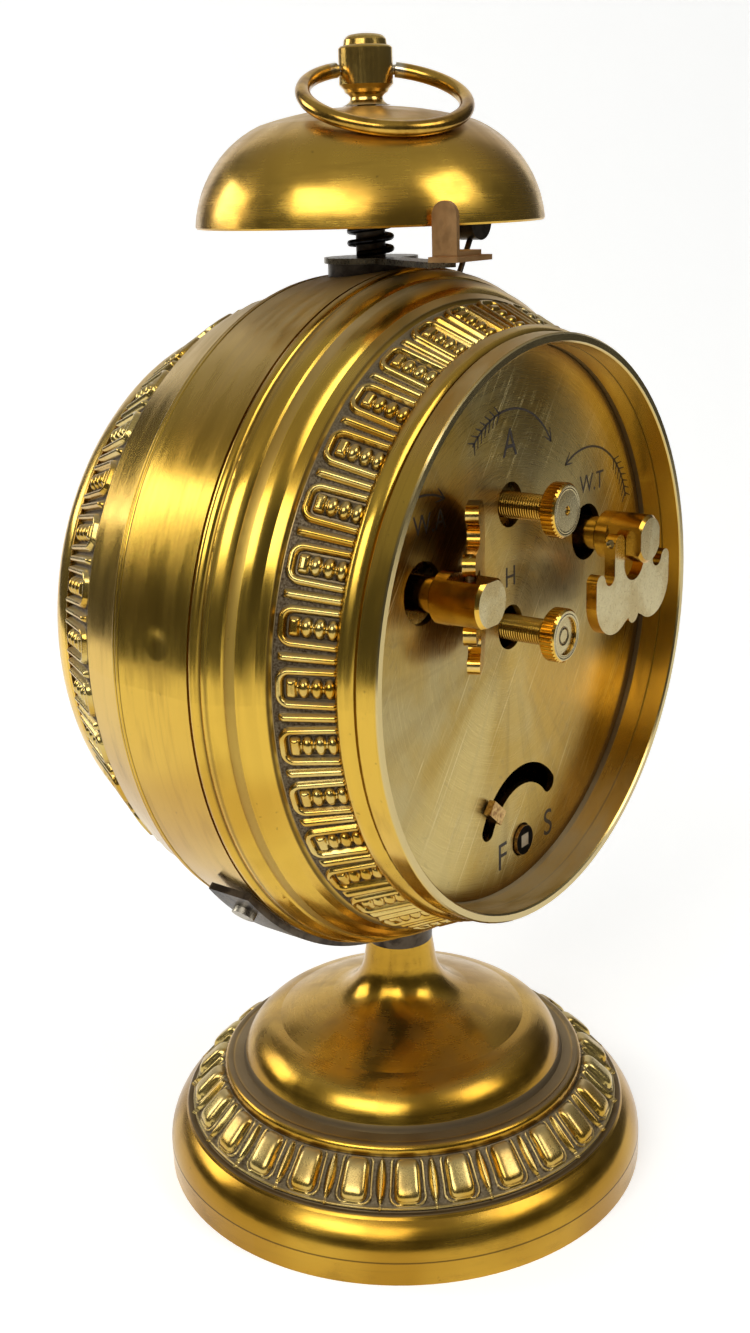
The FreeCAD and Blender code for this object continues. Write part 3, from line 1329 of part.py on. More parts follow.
def make_mainsprings():
    """Mainsprings: a flat strip wound round the winding arbors."""
    for side, spot, wheel_face in (
        ("time", TIME_WINDING, d.time_great_place),
        ("alarm", ALARM_WINDING, d.alarm_great_place),
    ):
        start = d.winding_arbor_radius + 0.4
        growth = (d.mainspring_radius - start) / d.mainspring_turns
        place = (spot[0], wheel_face - 0.4 - d.mainspring_width / 2, d.drum_height + spot[1])
        coil = doc.addObject("Part::Spiral", side + "_mainspring_curve")
        bind(coil, "Radius", start)
        bind(coil, "Growth", growth)
        coil.SegmentLength = 0
        bind(coil, "Rotations", d.mainspring_turns)
        put(coil, *place, Vector(1, 0, 0), 90)
        strip = doc.addObject("Part::Plane", side + "_mainspring_strip")
        bind(strip, "Length", d.mainspring_strip)
        bind(strip, "Width", d.mainspring_width)
        put(strip, place[0] + start, place[1] - d.mainspring_width / 2, place[2])
        sweep = doc.addObject("Part::Sweep", side + "_mainspring")
        sweep.Sections = [strip]
        sweep.Spine = (coil, ["Edge1"])
        sweep.Solid = True
        sweep.Frenet = True


# ---------------------------------------------------------------- hands and motion work

def make_hands():
    front = d.dial_face
    arbor_end = d.knob_face - d.arbor_sink
    rod = along_y("hand_rod", d.arbor_radius, front - 3.4, arbor_end, 0.0, d.drum_height)

    motion_module = d.motion_distance * 2 / (d.cannon_leaves + d.minute_teeth)
    hour_module = d.motion_distance * 2 / (d.minute_leaves + d.hour_teeth)
    post_spot = (as_size(0), -d.motion_distance)
    cannon_end = d.cannon_place + d.leaves_width
    cannon = gear("cannon_ring", d.cannon_leaves, motion_module, d.cannon_place, cannon_end, *CENTRE,
                  gap_bearing(d.cannon_leaves, CENTRE, post_spot))
    sleeve = along_y("cannon_sleeve", d.arbor_radius + 0.7, front - 2.6, cannon_end, 0.0, d.drum_height)
    joined("hand_arbor", [rod, cannon, sleeve])

    wheel = gear("minute_ring", d.minute_teeth, motion_module, d.minute_wheel_place,
                 d.minute_wheel_place + d.wheel_width, *post_spot, bearing_to(post_spot, CENTRE),
                 d.minute_bore_radius)
    leaves = gear("minute_leaves_ring", d.minute_leaves, hour_module, d.minute_leaves_place,
                  d.minute_wheel_place, *post_spot, gap_bearing(d.minute_leaves, post_spot, CENTRE),
                  d.minute_bore_radius)
    joined("minute_wheel", [wheel, leaves])

    pipe_inner = d.arbor_radius + 0.75
    pipe_outer = pipe_inner + d.pipe_wall
    hour_end = d.hour_wheel_place + d.wheel_width
    hour = gear("hour_ring", d.hour_teeth, hour_module, d.hour_wheel_place, hour_end, *CENTRE,
                bearing_to(CENTRE, post_spot), pipe_inner)
    pipe = tube_y("hour_pipe", pipe_outer, pipe_inner, front - 1.7, hour_end, 0.0, d.drum_height)
    joined("hour_wheel", [hour, pipe])

    date_inner = pipe_outer + d.running_gap
    date_outer = date_inner + d.pipe_wall
    date_end = d.date_wheel_place + d.wheel_width
    date_module = d.date_wheel_radius * 2 / d.date_teeth
    date = gear("date_ring", d.date_teeth, date_module, d.date_wheel_place, date_end, *CENTRE, 90.0,
                date_inner)
    date_pipe = tube_y("date_pipe", date_outer, date_inner, front - 1.1, date_end, 0.0, d.drum_height)
    joined("date_wheel", [date, date_pipe])

    hand("date_hand", d.date_hand_length, 1.0, front - 1.1, front - 0.8, -35.0, date_outer)
    hand("hour_hand", d.hour_hand_length, 2.2, front - 1.7, front - 1.3, 60.0, pipe_outer)
    hand("minute_hand", d.minute_hand_length, 1.8, front - 2.6, front - 2.2, 145.0,
         d.arbor_radius + 0.7)

    arbor_spot = (as_size(0), d.alarm_up)
    rod = arbor("alarm_set_rod", arbor_spot, d.arbor_radius, front - 0.6, arbor_end)
    cam = along_y("alarm_cam", 6.0, d.hour_wheel_place, hour_end, 0.0, d.drum_height + d.alarm_up)
    joined("alarm_set_arbor", [rod, cam])
    hand("alarm_hand", d.alarm_hand_length, 1.2, front - 0.6, front - 0.3, 90.0, d.arbor_radius,
         d.alarm_up)


def hand(name, length, width, first, last, bearing, bore, up=0.0):
    """Hand with a round eye, a short tail and a pointed end."""
    body = new_body(name)
    eye = as_size(bore) + 1.3

    def disc(sketch):
        ring(sketch, eye, 0, 0)
        ring(sketch, bore, 0, 0)

    def blade(sketch):
        loop(sketch, [
            (eye - 0.5, -width / 3),
            (length * 0.7, -width / 2),
            (length, -0.12),
            (length, 0.12),
            (length * 0.7, width / 2),
            (eye - 0.5, width / 3),
        ])

    pad_between(body, disc, first, last)
    pad_between(body, blade, first, last)
    put(body, 0.0, 0.0, d.drum_height + up)
    body.Placement.Rotation = Rotation(Vector(0, -1, 0), bearing)


# ---------------------------------------------------------------- bell, handle, stop lever, hammer

def make_bell():
    place = {"y": d.bell_place}
    bore = d.post_end_radius + d.running_gap
    rim = d.bell_rim_height
    crown = d.bell_shoulder_rise
    turned("bell", "XZ_Plane", [
        (d.bell_radius - 0.2, 0),
        (d.bell_radius, 0.3, d.bell_shoulder_bend),
        (d.bell_shoulder_radius, crown, d.bell_crown_bend),
        (bore, d.bell_apex_rise - 0.05),
        (bore, d.bell_apex_rise - 0.05 - d.bell_wall, d.bell_wall - d.bell_crown_bend),
        (d.bell_shoulder_radius - 0.42, crown - 1.0, d.bell_wall - d.bell_shoulder_bend),
        (d.bell_radius - d.bell_wall, 0),
    ], z=rim, **place)

    top = rim + d.bell_apex_rise
    post_top = d.finial_bottom + 1.0
    shoulder = top - 0.1 - d.bell_wall
    post = cylinder("bell_post_rod", d.post_radius, shoulder - d.drum_height - 51.5, 0.0, d.bell_place,
                    d.drum_height + 51.5)
    end = cylinder("bell_post_end", d.post_end_radius, post_top - shoulder, 0.0, d.bell_place, shoulder)
    nut = cylinder("bell_post_nut", d.post_radius + 2.0, 2.4, 0.0, d.bell_place,
                   d.drum_height + 52.6)
    joined("bell_post", [post, end, nut])

    collar = cylinder("post_collar_block", d.collar_radius, 4.0, 0.0, d.bell_place, d.collar_top - 4.0)
    under = doc.addObject("Part::Cone", "drum_cone")
    bind(under, "Radius1", d.band_radius)
    bind(under, "Radius2", d.band_front_radius)
    bind(under, "Height", d.band_rear - d.band_front)
    put(under, 0.0, d.band_rear, d.drum_height, Vector(1, 0, 0), 90)
    hole = cylinder("post_collar_hole", d.post_radius + d.running_gap, 9.0, 0.0, d.bell_place,
                    d.collar_top - 6.0)
    cut("post_collar", collar, joined("post_collar_cut", [under, hole]))

    spring = new_body("bell_spring")
    sketch = new_sketch(spring, "XZ_Plane")
    ring(sketch, d.coil_wire_radius, d.coil_radius, 0)
    coil = spring.newObject("PartDesign::AdditiveHelix", "bell_spring_coil")
    coil.Profile = sketch
    coil.ReferenceAxis = (origin_feature(spring, "Z_Axis"), [""])
    coil.Mode = 0
    coil.Angle = 0
    coil.Growth = 0
    bind(coil, "Pitch", d.coil_pitch)
    start = d.collar_top + 0.05 + d.stop_thickness + d.coil_wire_radius + 0.02
    bind(coil, "Height", top - d.bell_wall - 0.6 - start)
    put(spring, 0.0, d.bell_place, start)

    foot = top - 0.05
    turned("finial", "XZ_Plane", [
        (d.post_end_radius, foot + 0.1),
        (d.finial_neck_radius + 1.3, foot + 0.1, -1.5),
        (d.finial_neck_radius + 0.1, foot + 0.9),
        (d.finial_neck_radius, foot + 1.3, -1.6),
        (d.finial_radius - 0.9, d.finial_bottom - 0.5),
        (d.finial_radius - 0.7, d.finial_bottom),
        (d.finial_radius, d.finial_bottom + 0.7),
        (d.finial_radius, d.finial_top - 0.4, 0.7),
        (d.finial_radius - 0.5, d.finial_top),
        (d.cap_radius + 0.1, d.finial_top + 0.1),
        (d.cap_radius, d.finial_top + 0.9, 1.5),
        (d.cap_radius - 1.2, d.cap_top - 0.2, dome_bend(d.cap_radius - 1.2, as_size(0.2))),
        (0, d.cap_top),
        (0, post_top),
        (d.post_end_radius, post_top),
    ], **place)


def make_ring():
    """Ring handle: an open ring whose ends turn in the finial's barrel."""
    swing = Rotation(Vector(0, 0, 1), d.ring_bearing.value)
    swing = swing * Rotation(Vector(0, 1, 0), d.ring_droop.value)
    base = Placement(Vector(0, d.bell_place.value, d.ring_axis_height.value), swing)
    half_chord = d.finial_radius.value + 0.65
    ring_radius = d.ring_radius.value
    reach = math.sqrt(ring_radius ** 2 - half_chord ** 2)
    opening = math.degrees(math.asin(half_chord / ring_radius))
    wire = doc.addObject("Part::Torus", "ring_wire")
    bind(wire, "Radius1", d.ring_radius)
    bind(wire, "Radius2", d.ring_wire_radius)
    wire.Angle3 = 360 - 2 * opening
    start = Rotation(Vector(0, 0, 1), opening - 180)
    wire.Placement = base * Placement(Vector(reach, 0, 0), start)
    parts = [wire]
    holes = []
    for side in (-1, 1):
        turn = Rotation(Vector(1, 0, 0), -90 * side)
        first = Vector(0, side * (d.finial_radius.value - 1.5), 0)
        pin = cylinder("ring_pin", 0.8, 2.6)
        pin.Placement = base * Placement(first, turn)
        parts.append(pin)
        hole = cylinder("ring_hole", 0.8 + d.running_gap, 4.0)
        hole.Placement = base * Placement(first - Vector(0, side * 0.3, 0), turn)
        holes.append(hole)
    joined("ring_handle", parts)
    finial = doc.getObject("finial")
    finial.Label = "finial_turned"
    bored = cut("finial_bored", finial, joined("ring_holes", holes))
    bored.Label = "finial"


def make_stop_lever():
    bottom = d.collar_top + 0.05
    hub = cylinder("stop_hub", d.stop_hub_radius, d.stop_thickness, 0.0, d.bell_place, bottom)
    arm = box("stop_strip", d.stop_reach, d.stop_width, d.stop_thickness)
    turn = Rotation(Vector(0, 0, 1), d.stop_bearing.value)
    corner = turn.multVec(Vector(0, -d.stop_width.value / 2, 0))
    spot = corner + Vector(0, d.bell_place.value, bottom.value)
    arm.Placement = Placement(spot, turn)
    bind(arm, "Length", d.stop_reach)
    hole = cylinder("stop_hole", d.post_radius + d.running_gap, 4.0, 0.0, d.bell_place, bottom - 1.0)
    cut("stop_arm", joined("stop_solid", [hub, arm]), hole)

    level = bottom + d.stop_thickness
    low = d.tab_along - 2.6
    plate = box("tab_plate", 9.5, 5.2, d.tab_thickness, d.tab_across - 9.0, low, level)
    foot = box("tab_foot_strip", d.tab_foot, d.tab_width, d.tab_thickness,
               d.tab_across - d.tab_foot, d.tab_along - d.tab_width / 2, level + d.tab_thickness)
    upright = box("tab_upright", d.tab_thickness, d.tab_width, d.tab_height - d.tab_width / 2,
                  d.tab_across - d.tab_thickness, d.tab_along - d.tab_width / 2,
                  level + d.tab_thickness)
    top = level + d.tab_thickness + d.tab_height - d.tab_width / 2
    round_top = cylinder("tab_round", d.tab_width / 2, d.tab_thickness, d.tab_across - d.tab_thickness,
                         d.tab_along, top, Vector(0, 1, 0), 90)
    joined("stop_tab", [plate, foot, upright, round_top])


def rod_between(name, radius, start, end):
    """Round wire from one point to another."""
    span = end - start
    item = cylinder(name, radius, span.Length)
    item.Placement = Placement(start, Rotation(Vector(0, 0, 1), span))
    return item


def ball(name, radius, spot):
    item = doc.addObject("Part::Sphere", name)
    bind(item, "Radius", radius)
    item.Placement.Base = spot
    return item


def make_hammer():
    height = d.drum_height.value
    pivot = Vector(d.hammer_arbor_across.value, d.hammer_place.value, height + d.hammer_arbor_up.value)
    knee = Vector(d.hammer_exit_across.value, d.hammer_place.value, height + d.hammer_exit_up.value)
    head = Vector(d.hammer_head_across.value, d.hammer_place.value, height + d.hammer_head_up.value)
    wire = d.hammer_wire_radius
    hub = along_y("hammer_hub", 1.8, d.hammer_place - 2.0, d.hammer_place + 2.0,
                  d.hammer_arbor_across, d.drum_height + d.hammer_arbor_up)
    shaft = arbor("hammer_shaft", (d.hammer_arbor_across, d.hammer_arbor_up))
    verge = box("hammer_verge", 1.2, 1.2, 6.0, d.hammer_arbor_across - 0.6, 9.0,
                d.drum_height + d.hammer_arbor_up - 6.5)
    joined("hammer_arm", [
        shaft,
        hub,
        verge,
        rod_between("hammer_lower_wire", wire, pivot, knee),
        ball("hammer_knee", wire, knee),
        rod_between("hammer_upper_wire", wire, knee, head - Vector(0, 0, 2.0)),
    ])
    solid = along_y("hammer_head_disc", d.hammer_head_radius, d.hammer_place - d.hammer_head_length / 2,
                    d.hammer_place + d.hammer_head_length / 2, d.hammer_head_across,
                    d.drum_height + d.hammer_head_up)
    socket = rod_between("hammer_socket", wire, knee, head - Vector(0, 0, 2.0))
    cut("hammer_head", solid, socket)


# ---------------------------------------------------------------- build, check and export

NODES = [
    "foot_shell", "foot_plate", "foot_stud", "neck_collar", "saddle_strap", "strap_screws",
    "case_band", "front_casting", "rear_casting", "bezel", "glass", "dial", "back_plate",
    "movement_front_plate", "movement_rear_plate", "pillars", "clicks",
    "time_mainspring", "alarm_mainspring", "bell_post", "post_collar", "bell_spring", "bell",
    "finial_bored", "ring_handle", "stop_arm", "stop_tab",
    "time_arbor", "time_key_barrel", "time_key_pin", "time_key_bow",
    "alarm_arbor", "alarm_key_barrel", "alarm_key_pin", "alarm_key_bow",
    "time_spring_barrel", "alarm_spring_barrel",
    "centre_pinion", "centre_wheel", "third_wheel", "fourth_wheel", "escape_wheel",
    "pallet_lever", "balance_wheel", "hairspring", "regulator",
    "hand_knob", "hand_arbor", "minute_hand", "minute_wheel", "hour_wheel",
    "hour_hand", "date_wheel", "date_hand", "alarm_knob", "alarm_set_arbor", "alarm_hand",
    "alarm_scape_wheel", "hammer_arm", "hammer_head",
]

make_foot()
make_saddle()
make_drum()
make_dial()
make_back_plate()
make_key("time", -d.key_across, 0.0)
make_bow("time", -d.key_across, 0.0, 0.0)
make_key("alarm", d.key_across, 90.0)
make_bow("alarm", d.key_across, 90.0, d.bow_lean.value)
make_knob("hand_knob", as_size(0.0), 3.2)
make_knob("alarm_knob", d.alarm_up, 0.8)
make_train()
make_clicks()
make_escapement()
make_regulator()
make_movement_plates()
make_mainsprings()
make_hands()
make_bell()
make_ring()
make_stop_lever()
make_hammer()
doc.recompute()

problems = []
for item in doc.Objects:
    if "Invalid" in item.State or "Error" in item.State:
        problems.append("%s %s" % (item.Name, item.State))
    elif hasattr(item, "Shape") and item.Name in NODES:
        if item.Shape.isNull() or not item.Shape.isValid() or not item.Shape.Solids:
            problems.append("%s has no valid solid" % item.Name)
if problems:
    raise SystemExit("\n".join(problems))

os.makedirs("parts", exist_ok=True)
for name in NODES:
    item = doc.getObject(name)
    item.Shape.exportStep("parts/%s.step" % item.Label)
print("nodes", len(NODES))
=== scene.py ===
"""Looks of the desk clock with calendar: aged brass drum, bell and foot, seen from behind."""
import json
import math
from collections import namedtuple

import bpy
import numpy as np
from mathutils import Matrix, Vector


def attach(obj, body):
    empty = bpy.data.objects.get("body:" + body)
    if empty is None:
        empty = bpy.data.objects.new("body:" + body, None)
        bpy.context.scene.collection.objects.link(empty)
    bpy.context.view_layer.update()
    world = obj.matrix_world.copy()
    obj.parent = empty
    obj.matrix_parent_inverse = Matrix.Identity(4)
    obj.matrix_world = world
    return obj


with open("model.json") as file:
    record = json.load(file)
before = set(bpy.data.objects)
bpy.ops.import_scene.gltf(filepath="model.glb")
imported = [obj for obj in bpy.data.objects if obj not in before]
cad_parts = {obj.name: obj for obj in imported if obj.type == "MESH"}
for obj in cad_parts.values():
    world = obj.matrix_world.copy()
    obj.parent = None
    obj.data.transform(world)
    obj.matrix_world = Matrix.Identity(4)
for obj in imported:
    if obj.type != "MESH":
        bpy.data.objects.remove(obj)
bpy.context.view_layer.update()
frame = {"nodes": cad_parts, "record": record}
NODES = frame["nodes"]

# Sizes and places are in millimetres in the shared frame: X across, Y from the dial to the back, Z up.
MM = 0.001                              # one millimetre in scene units
DRUM_Z = 106.1                          # height of the drum's axis
BELL_Y = -2.0                           # the bell's axis stands this far along Y
ALARM_Z = DRUM_Z + 20.7                 # height of the alarm's setting axis
KEY_X, KEY_Z = 25.2, DRUM_Z + 11.4      # the winding axes stand at plus and minus KEY_X
REGULATOR_HUB = (-3.3, DRUM_Z - 39.5)   # (x, z) of the regulator's arbor
RING_JOINT = (0.0, BELL_Y, 194.8)       # where the ring handle is soldered
PLATE_Y = 24.80                         # outer face of the back plate
DIAL_Y = -27.5                          # outer face of the dial


# ---------------------------------------------------------------- shader helpers

Polar = namedtuple("Polar", "radius along first second")


def linear(red, green, blue):
    """A colour written as it should look on screen, as the linear values a shader takes."""
    def channel(c):
        return c / 12.92 if c <= 0.04045 else ((c + 0.055) / 1.055) ** 2.4
    return (channel(red), channel(green), channel(blue), 1.0)


class Shader:
    """Builds one material's node tree. Places and lengths in it are in millimetres."""

    def __init__(self, name, metallic=1.0, roughness=0.3, colour=(0.5, 0.5, 0.5)):
        self.material = bpy.data.materials.new(name)
        self.material.use_nodes = True
        self.tree = self.material.node_tree
        self.tree.nodes.clear()
        output = self.tree.nodes.new("ShaderNodeOutputMaterial")
        self.bsdf = self.tree.nodes.new("ShaderNodeBsdfPrincipled")
        self.tree.links.new(self.bsdf.outputs["BSDF"], output.inputs["Surface"])
        self.set("Metallic", metallic)
        self.set("Roughness", roughness)
        self.set("Base Color", linear(*colour))

    def node(self, kind, **settings):
        made = self.tree.nodes.new(kind)
        for key, value in settings.items():
            setattr(made, key, value)
        return made

    def feed(self, socket, value):
        """Links an output to the socket, or writes a plain value into it."""
        if isinstance(value, bpy.types.NodeSocket):
            self.tree.links.new(value, socket)
        else:
            socket.default_value = value

    def set(self, name, value):
        self.feed(self.bsdf.inputs[name], value)

    def math(self, operation, a, b=0.0):
        made = self.node("ShaderNodeMath", operation=operation)
        for socket, value in zip(made.inputs, (a, b)):
            self.feed(socket, value)
        return made.outputs[0]

    def chain(self, operation, values):
        result = values[0]
        for value in values[1:]:
            result = self.math(operation, result, value)
        return result

    def times(self, *values):
        return self.chain("MULTIPLY", values)

    def plus(self, *values):
        return self.chain("ADD", values)

    def blend(self, a, b, weight_a, weight_b):
        """weight_a times a plus weight_b times b."""
        return self.plus(self.times(a, weight_a), self.times(b, weight_b))

    def mix(self, factor, a, b):
        made = self.node("ShaderNodeMix", data_type="RGBA")
        self.feed(made.inputs[0], factor)
        self.feed(made.inputs[6], a)
        self.feed(made.inputs[7], b)
        return made.outputs[2]

    def two_tones(self, factor, first, second):
        """From the first to the second of two colours as seen on screen."""
        return self.mix(factor, linear(*first), linear(*second))

    def paint(self, under, amount, colour):
        """The colour under, covered by another one as far as amount says."""
        return self.mix(amount, under, linear(*colour))

    def place(self):
        """The point on the piece."""
        coords = self.node("ShaderNodeTexCoord")
        scaled = self.node("ShaderNodeVectorMath", operation="SCALE")
        self.feed(scaled.inputs[0], coords.outputs["Object"])
        scaled.inputs["Scale"].default_value = 1.0 / MM
        return scaled.outputs[0]

    def facing(self, axis):
        """How far the surface faces along an axis, from -1 to 1."""
        return self.parts(self.node("ShaderNodeTexCoord").outputs["Normal"])["XYZ".index(axis)]

    def parts(self, vector):
        made = self.node("ShaderNodeSeparateXYZ")
        self.feed(made.inputs[0], vector)
        return made.outputs[0], made.outputs[1], made.outputs[2]

    def combine(self, x, y, z):
        made = self.node("ShaderNodeCombineXYZ")
        for socket, value in zip(made.inputs, (x, y, z)):
            self.feed(socket, value)
        return made.outputs[0]

    def noise(self, vector, scale, detail=3.0, rough=0.55, distortion=0.0):
        made = self.node("ShaderNodeTexNoise")
        self.feed(made.inputs["Vector"], vector)
        made.inputs["Scale"].default_value = scale
        made.inputs["Detail"].default_value = detail
        made.inputs["Roughness"].default_value = rough
        made.inputs["Distortion"].default_value = distortion
        return made.outputs["Fac"]

    def span(self, value, low, high, start=0.0, end=1.0):
        """value from low..high carried to start..end, smoothly and clamped."""
        made = self.node("ShaderNodeMapRange", interpolation_type="SMOOTHSTEP", clamp=True)
        for socket, number in zip(made.inputs, (value, low, high, start, end)):
            self.feed(socket, number)
        return made.outputs[0]

    def length(self, a, b):
        return self.math("SQRT", self.plus(self.times(a, a), self.times(b, b)))

    def polar(self, axis, level):
        """Place about an axis along Y at height level, or along Z at y = level."""
        x, y, z = self.parts(self.place())
        along, other = (y, z) if axis == "Y" else (z, y)
        other = self.math("SUBTRACT", other, level)
        radius = self.length(x, other)
        safe = self.math("MAXIMUM", radius, 0.01)
        return Polar(radius, along, self.math("DIVIDE", x, safe), self.math("DIVIDE", other, safe))

    def turned(self, polar, around, fine):
        """Coordinates that draw lathe lines: slow round the axis, quick along the profile."""
        profile = self.blend(polar.radius, polar.along, fine, fine)
        return self.combine(self.times(polar.first, around), profile, self.times(polar.second, around))

    def lines(self, along, marks):
        """The strongest of soft dark lines along an axis, each (place, half width, strength)."""
        total = 0.0
        for place, half, strength in marks:
            gap = self.math("ABSOLUTE", self.math("SUBTRACT", along, place))
            total = self.math("MAXIMUM", self.span(gap, 0.0, half, strength, 0.0), total)
        return total

    def near(self, place, centre, reach):
        """1 at the centre, falling to 0 at its reach."""
        gap = self.node("ShaderNodeVectorMath", operation="DISTANCE")
        self.feed(gap.inputs[0], place)
        gap.inputs[1].default_value = centre
        return self.span(gap.outputs["Value"], 0.0, reach, 1.0, 0.0)

    def bump(self, height, distance, strength=1.0, normal=None):
        made = self.node("ShaderNodeBump")
        made.inputs["Strength"].default_value = strength
        made.inputs["Distance"].default_value = distance * MM
        self.feed(made.inputs["Height"], height)
        if normal is not None:
            self.feed(made.inputs["Normal"], normal)
        return made.outputs[0]

    def press(self, depth, distance, strength, normal):
        """Sinks the surface where depth is 1."""
        return self.bump(self.times(depth, -1.0), distance, strength, normal)


# ---------------------------------------------------------------- colours (as seen on screen)

GOLD = (0.80, 0.65, 0.26)
OLD_GOLD = (0.73, 0.57, 0.21)
# golden band of painted reflection on the back plate
PAINTED_REFLECTION_GOLD = (0.68, 0.53, 0.20)
RUBBED_GOLD = (0.78, 0.68, 0.40)
KEY_GOLD = (0.84, 0.67, 0.28)
KEY_SHADE = (0.68, 0.51, 0.19)
KEY_PALE = (0.76, 0.70, 0.52)
KEY_TARNISH = (0.69, 0.61, 0.41)
CHAMPAGNE = (0.72, 0.64, 0.42)
RAW_EDGE = (0.74, 0.69, 0.52)
# bright line of painted highlight on the back plate
PAINTED_HIGHLIGHT_LINES = (0.86, 0.77, 0.50)
BRIGHT_SCRATCH = (0.96, 0.89, 0.66)
OLIVE = (0.70, 0.58, 0.28)
# dark rays of painted shade on the back plate
PAINTED_SHADE_OLIVE = (0.52, 0.43, 0.22)
SCUFFED = (0.56, 0.48, 0.30)
BROWN = (0.52, 0.38, 0.14)
DULL_BROWN = (0.50, 0.43, 0.28)
UMBER = (0.24, 0.18, 0.11)
STONE = (0.43, 0.38, 0.30)
# a pale film on up-facing tops that stands for dust and for painted sheen
DUST_AND_SHEEN = (0.70, 0.62, 0.46)
CAUGHT_DUST_AND_SHEEN = (0.66, 0.60, 0.46)
DEEP_DIRT = (0.12, 0.09, 0.06)
# near black of painted shade in the regulator's hole
PAINTED_HOLE_SHADE = (0.04, 0.03, 0.02)
ARBOR_STEEL = (0.66, 0.61, 0.52)
SOLDER_SILVER = (0.80, 0.77, 0.68)
POINTER_GOLD = (0.74, 0.60, 0.36)
POINTER_BROWN = (0.52, 0.36, 0.18)
ENAMEL_WHITE = (0.93, 0.92, 0.87)
ENAMEL_CREAM = (0.89, 0.87, 0.80)
ENAMEL_SPECK = (0.60, 0.53, 0.40)
GLASS_TINT = (0.97, 0.99, 0.98)
PRINTED_BLACK = (0.10, 0.08, 0.06)
ENGRAVED_BROWN = (0.13, 0.10, 0.06)


# ---------------------------------------------------------------- materials

def lay_dust(sh, colour, start, thickness, tint):
    """Dust and painted sheen that hide the metal where it faces up, making the tops paler. It takes the colour
    and gives back the film.
    """
    dust_and_sheen_film = sh.times(sh.span(sh.facing("Z"), start, 1.0), thickness)
    sh.set("Base Color", sh.paint(colour, dust_and_sheen_film, tint))
    sh.set("Metallic", sh.math("SUBTRACT", 1.0, sh.times(dust_and_sheen_film, 0.65)))
    return dust_and_sheen_film


def aged_brass(name, axis="Y", level=DRUM_Z, light=GOLD, middle=OLD_GOLD, dark=BROWN, smooth=0.15, rough=0.24,
               around=3.0, fine=9.0, grooves=(), bands=(), dents=(), dust_and_sheen=0.85, edge_from=None):
    """Lacquered brass gone old: soft stains drawn out round the axis, lathe lines, dirt in the grooves.

    grooves are (place, half width, strength) and bands (start, end, colour, amount), both along the axis.
    dents are (centre, radius, depth). From edge_from on the metal is a pale raw edge.
    """
    stain, spots, soft = 0.30, 0.30, 0.12
    sh = Shader(name)
    place = sh.place()
    polar = sh.polar(axis, level)
    cloud = sh.noise(place, 0.030, 2.0, 0.5, 0.3)
    wear = sh.noise(sh.turned(polar, around * 1.5, fine * 0.045), 1.0, 3.0, 0.5)
    line = sh.noise(sh.turned(polar, around, fine), 1.0, 3.0, 0.7)
    streak = sh.noise(sh.turned(polar, around * 0.5, fine * 0.18), 1.0, 2.0, 0.6)
    spot = sh.noise(place, 0.9, 2.0, 0.5)
    colour = sh.two_tones(sh.span(cloud, 0.38, 0.62), light, middle)
    colour = sh.paint(colour, sh.times(sh.span(wear, 0.50, 0.78), stain), dark)
    colour = sh.paint(colour, sh.times(sh.span(streak, 0.54, 0.78), stain * 0.7), dark)
    colour = sh.paint(colour, sh.times(sh.span(spot, 0.715, 0.76), spots), UMBER)
    shine = sh.plus(sh.span(wear, 0.3, 0.75, smooth, rough), sh.span(line, 0.3, 0.7, -0.02, 0.04))
    if grooves:
        depth = sh.lines(polar.along, grooves)
        colour = sh.paint(colour, depth, UMBER)
        shine = sh.plus(shine, sh.times(depth, 0.3))
    for start, end, tint, amount in bands:
        inside = sh.times(sh.span(polar.along, start - soft, start + soft),
                          sh.span(polar.along, end - soft, end + soft, 1.0, 0.0))
        colour = sh.paint(colour, sh.times(inside, amount), tint)
        shine = sh.plus(shine, sh.times(inside, 0.25))
    if edge_from is not None:
        colour = sh.paint(colour, sh.span(polar.along, edge_from - 0.15, edge_from + 0.1, 0.0, 0.7), RAW_EDGE)
    # dust and painted sheen: up-facing surfaces are made paler, rougher and less metallic
    dust_and_sheen_film = lay_dust(sh, colour, 0.62, sh.span(wear, 0.25, 0.7, dust_and_sheen * 0.6, dust_and_sheen), DUST_AND_SHEEN)
    shine = sh.plus(shine, sh.times(dust_and_sheen_film, 0.50))
    sh.set("Roughness", sh.math("MINIMUM", sh.math("MAXIMUM", shine, 0.10), 0.8))
    normal = sh.bump(line, 0.008, 0.35)
    normal = sh.bump(cloud, 1.0, 0.10, normal)
    for centre, radius, depth in dents:
        normal = sh.press(sh.near(place, centre, radius), depth, 1.0, normal)
    sh.set("Normal", normal)
    return sh.material


def relief_brass(name):
    """Cast ornament: raised parts rubbed golden, the ground between them matt and grey-brown."""
    sh = Shader(name)
    place = sh.place()
    relief = sh.node("ShaderNodeAttribute", attribute_name="relief").outputs["Fac"]
    grit = sh.noise(place, 3.0, 3.0, 0.6)
    cloud = sh.noise(place, 0.10, 2.0, 0.5)
    top = sh.span(relief, 0.10, 0.48)
    pit = sh.span(relief, -0.30, 0.02, 0.85, 0.0)
    ground = sh.two_tones(sh.span(grit, 0.35, 0.7), STONE, UMBER)
    raised = sh.two_tones(sh.span(cloud, 0.38, 0.66), RUBBED_GOLD, OLD_GOLD)
    raised = sh.paint(raised, sh.times(sh.span(grit, 0.60, 0.80), 0.30), BROWN)
    colour = sh.paint(sh.mix(top, ground, raised), pit, DEEP_DIRT)
    # dust and painted sheen: the up-facing ornament is made paler, rougher and less metallic
    dust_and_sheen_film = lay_dust(sh, colour, 0.45, sh.span(cloud, 0.35, 0.60, 0.35, 0.60), CAUGHT_DUST_AND_SHEEN)
    sh.set("Roughness", sh.plus(sh.span(top, 0.0, 1.0, 0.55, 0.21), sh.span(grit, 0.3, 0.7, -0.03, 0.05),
                                sh.times(dust_and_sheen_film, 0.30)))
    sh.set("Normal", sh.bump(grit, 0.015, 0.5))
    return sh.material


